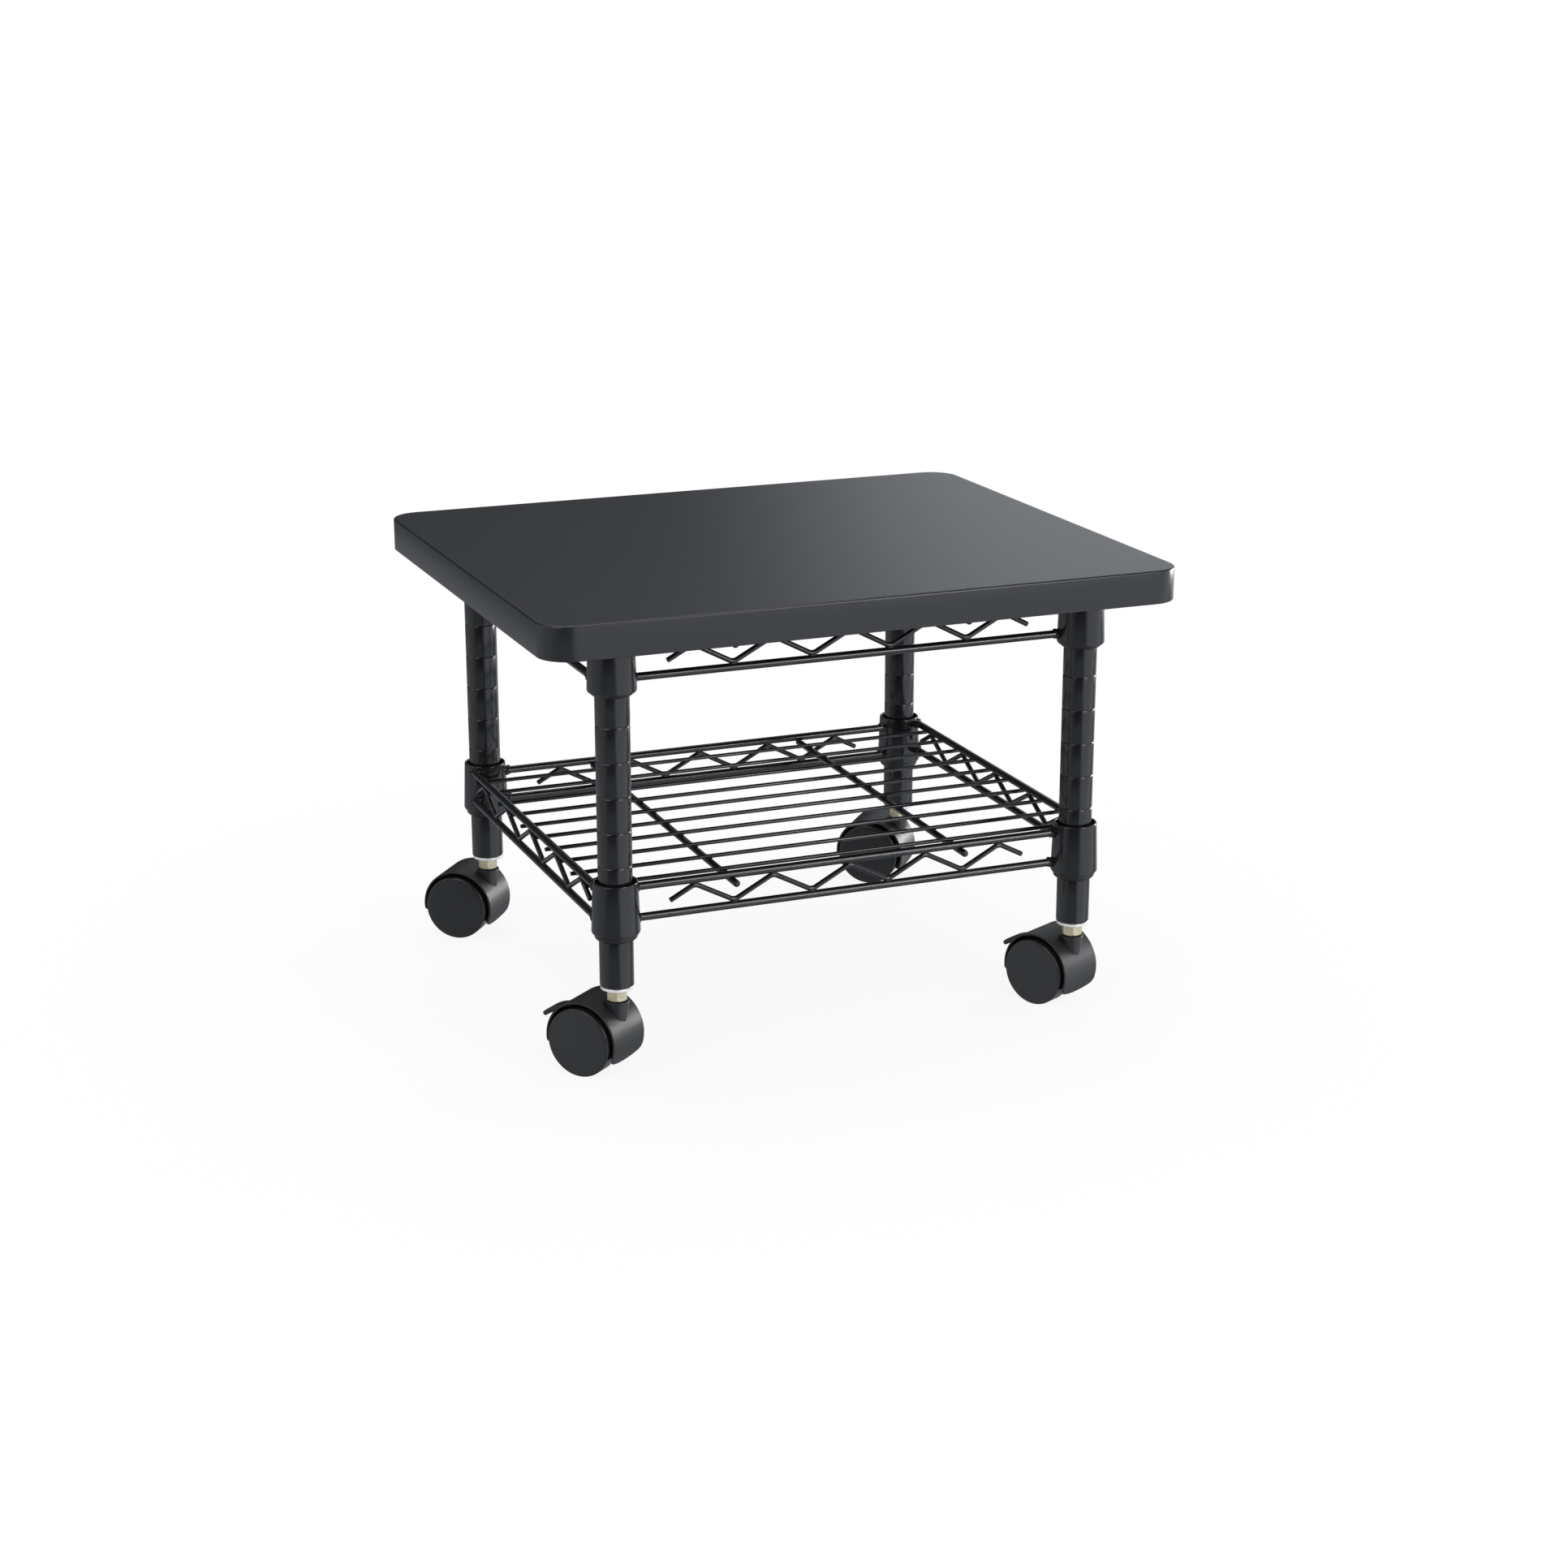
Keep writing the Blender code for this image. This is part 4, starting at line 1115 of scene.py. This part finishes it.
def floor_material():
    """Matt white studio floor: white to the camera, with a share of its own shading near the object, which
    keeps the shadow and fades out with distance."""
    material, tree = new_material("studio floor, matt white")
    if tree is None:
        return material
    place = node(tree, "ShaderNodeTexCoord").outputs["Object"]
    away = node(tree, "ShaderNodeVectorMath", {0: place}, operation="LENGTH").outputs["Value"]
    start, stop = FLOOR_FADE
    inputs = {"Value": away, "From Min": start, "From Max": stop, "To Min": FLOOR_WHITE, "To Max": 1.0}
    white = node(tree, "ShaderNodeMapRange", inputs, interpolation_type="SMOOTHSTEP").outputs["Result"]
    seen = node(tree, "ShaderNodeLightPath").outputs["Is Camera Ray"]
    share = node(tree, "ShaderNodeMath", {0: white, 1: seen}, operation="MULTIPLY").outputs[0]
    matt = node(tree, "ShaderNodeBsdfDiffuse", {"Color": (*colours().floor, 1.0)}).outputs[0]
    glow = node(tree, "ShaderNodeEmission", {"Color": WHITE, "Strength": 1.0}).outputs[0]
    mix = node(tree, "ShaderNodeMixShader", {0: share, 1: matt, 2: glow})
    node(tree, "ShaderNodeOutputMaterial", {"Surface": mix.outputs[0]})
    return material


def direction(azimuth, elevation):
    """Unit vector at an angle from +X in plan and an angle above the floor, in degrees."""
    turn, rise = math.radians(azimuth), math.radians(elevation)
    return (math.cos(rise) * math.cos(turn), math.cos(rise) * math.sin(turn), math.sin(rise))


def make_world():
    """A white studio for the camera and for clear materials. Reflections see its walls: dim all round, white
    where the soft panels stand. The rest is an even fill."""
    world = bpy.data.worlds.new("studio")
    bpy.context.scene.world = world
    world.use_nodes = True
    tree = world.node_tree
    tree.nodes.clear()
    looking = node(tree, "ShaderNodeTexCoord").outputs["Generated"]
    walls = WALL_LEVEL
    for azimuth, elevation, inner, outer, level in WALL_PANELS:
        vectors = {0: looking, 1: direction(azimuth, elevation)}
        facing = node(tree, "ShaderNodeVectorMath", vectors, operation="DOT_PRODUCT").outputs["Value"]
        inputs = {
            "Value": facing,
            "From Min": math.cos(math.radians(outer)),
            "From Max": math.cos(math.radians(inner)),
            "To Min": 0.0,
            "To Max": level,
        }
        panel = node(tree, "ShaderNodeMapRange", inputs, interpolation_type="SMOOTHSTEP").outputs["Result"]
        walls = node(tree, "ShaderNodeMath", {0: panel, 1: walls}, operation="MAXIMUM").outputs[0]
    path = node(tree, "ShaderNodeLightPath").outputs
    glossy = node(tree, "ShaderNodeBackground", {"Color": WALL_TINT, "Strength": walls}).outputs[0]
    fill = node(tree, "ShaderNodeBackground", {"Color": WHITE, "Strength": FILL_LEVEL}).outputs[0]
    white = node(tree, "ShaderNodeBackground", {"Color": WHITE, "Strength": 1.0}).outputs[0]
    rays = {0: path["Is Camera Ray"], 1: path["Is Transmission Ray"]}
    shown = node(tree, "ShaderNodeMath", rays, operation="MAXIMUM").outputs[0]
    dull = node(tree, "ShaderNodeMixShader", {0: path["Is Glossy Ray"], 1: fill, 2: glossy}).outputs[0]
    mix = node(tree, "ShaderNodeMixShader", {0: shown, 1: dull, 2: white})
    node(tree, "ShaderNodeOutputWorld", {"Surface": mix.outputs[0]})


def add_panel(name, place, size, power):
    """A soft rectangular lamp that faces the target."""
    data = bpy.data.lights.new(name, "AREA")
    data.shape = "RECTANGLE"
    data.size, data.size_y = size
    data.energy = power
    lamp = bpy.data.objects.new(name, data)
    lamp.location = place
    x, y, z = np.subtract(LAMP_TARGET, place)
    lamp.rotation_euler = (math.atan2(math.hypot(x, y), -z), 0.0, math.atan2(y, x) - math.pi / 2)
    bpy.context.scene.collection.objects.link(lamp)


def make_camera():
    """A camera at the photographed height and turn, level from side to side and dipped to the stand."""
    data = bpy.data.cameras.new("photo camera")
    data.sensor_width = CAMERA_SENSOR
    data.lens = CAMERA_LENS
    camera = bpy.data.objects.new("photo camera", data)
    camera.location = CAMERA_PLACE
    camera.rotation_mode = "XYZ"
    camera.rotation_euler = (math.radians(90 - CAMERA_DIP), 0.0, math.radians(-CAMERA_TURN))
    bpy.context.scene.collection.objects.link(camera)
    bpy.context.scene.camera = camera


class STAND_OT_stage(bpy.types.Operator):
    """Lay the floor, hang the lamps and set the camera"""

    bl_idname = "stand.stage"
    bl_label = "Stage"

    def execute(self, context):
        below = CAD_BOX[0].z - FLOOR_GAP
        signs = [(-1, -1), (1, -1), (1, 1), (-1, 1)]
        corners = [(x * FLOOR_REACH, y * FLOOR_REACH, below) for x, y in signs]
        mesh = bpy.data.meshes.new("floor")
        mesh.from_pydata(corners, [], [(0, 1, 2, 3)])
        mesh.materials.append(floor_material())
        floor = bpy.data.objects.new("floor", mesh)
        context.scene.collection.objects.link(floor)
        floor.visible_glossy = False
        for name, settings in LAMPS.items():
            add_panel(name, *settings)
        make_world()
        make_camera()
        context.scene.view_settings.view_transform = "Standard"
        return {"FINISHED"}


STEPS = (
    STAND_OT_tabletop,
    STAND_OT_posts,
    STAND_OT_foot_fittings,
    STAND_OT_shelves,
    STAND_OT_sleeves,
    STAND_OT_hoods,
    STAND_OT_wheels,
    STAND_OT_levers,
    STAND_OT_fixings,
    STAND_OT_stage,
)


class STAND_PT_sidebar(bpy.types.Panel):
    """Sizes, colours and steps of the printer stand"""

    bl_idname = "STAND_PT_sidebar"
    bl_label = "Printer Stand"
    bl_space_type = "VIEW_3D"
    bl_region_type = "UI"
    bl_category = "Stand"

    def draw(self, context):
        layout = self.layout
        for group in (context.scene.stand_sizes, context.scene.stand_colours):
            for name in group.__annotations__:
                layout.prop(group, name)
        for step in STEPS:
            layout.operator(step.bl_idname)


CLASSES = (StandColours, StandSizes) + STEPS + (STAND_PT_sidebar,)


def register():
    """Register the classes and give the scene its sizes and colours."""
    for cls in CLASSES:
        bpy.utils.register_class(cls)
    bpy.types.Scene.stand_colours = PointerProperty(type=StandColours)
    bpy.types.Scene.stand_sizes = PointerProperty(type=StandSizes)


def unregister():
    """Take the sizes and colours from the scene and unregister the classes."""
    del bpy.types.Scene.stand_sizes
    del bpy.types.Scene.stand_colours
    for cls in reversed(CLASSES):
        bpy.utils.unregister_class(cls)


def main():
    """Build the stand and its stage step by step."""
    register()
    bpy.ops.stand.tabletop()
    bpy.ops.stand.posts()
    bpy.ops.stand.foot_fittings()
    bpy.ops.stand.shelves()
    bpy.ops.stand.sleeves()
    bpy.ops.stand.hoods()
    bpy.ops.stand.wheels()
    bpy.ops.stand.levers()
    bpy.ops.stand.fixings()
    bpy.ops.stand.stage()


if __name__ == "__main__":
    main()
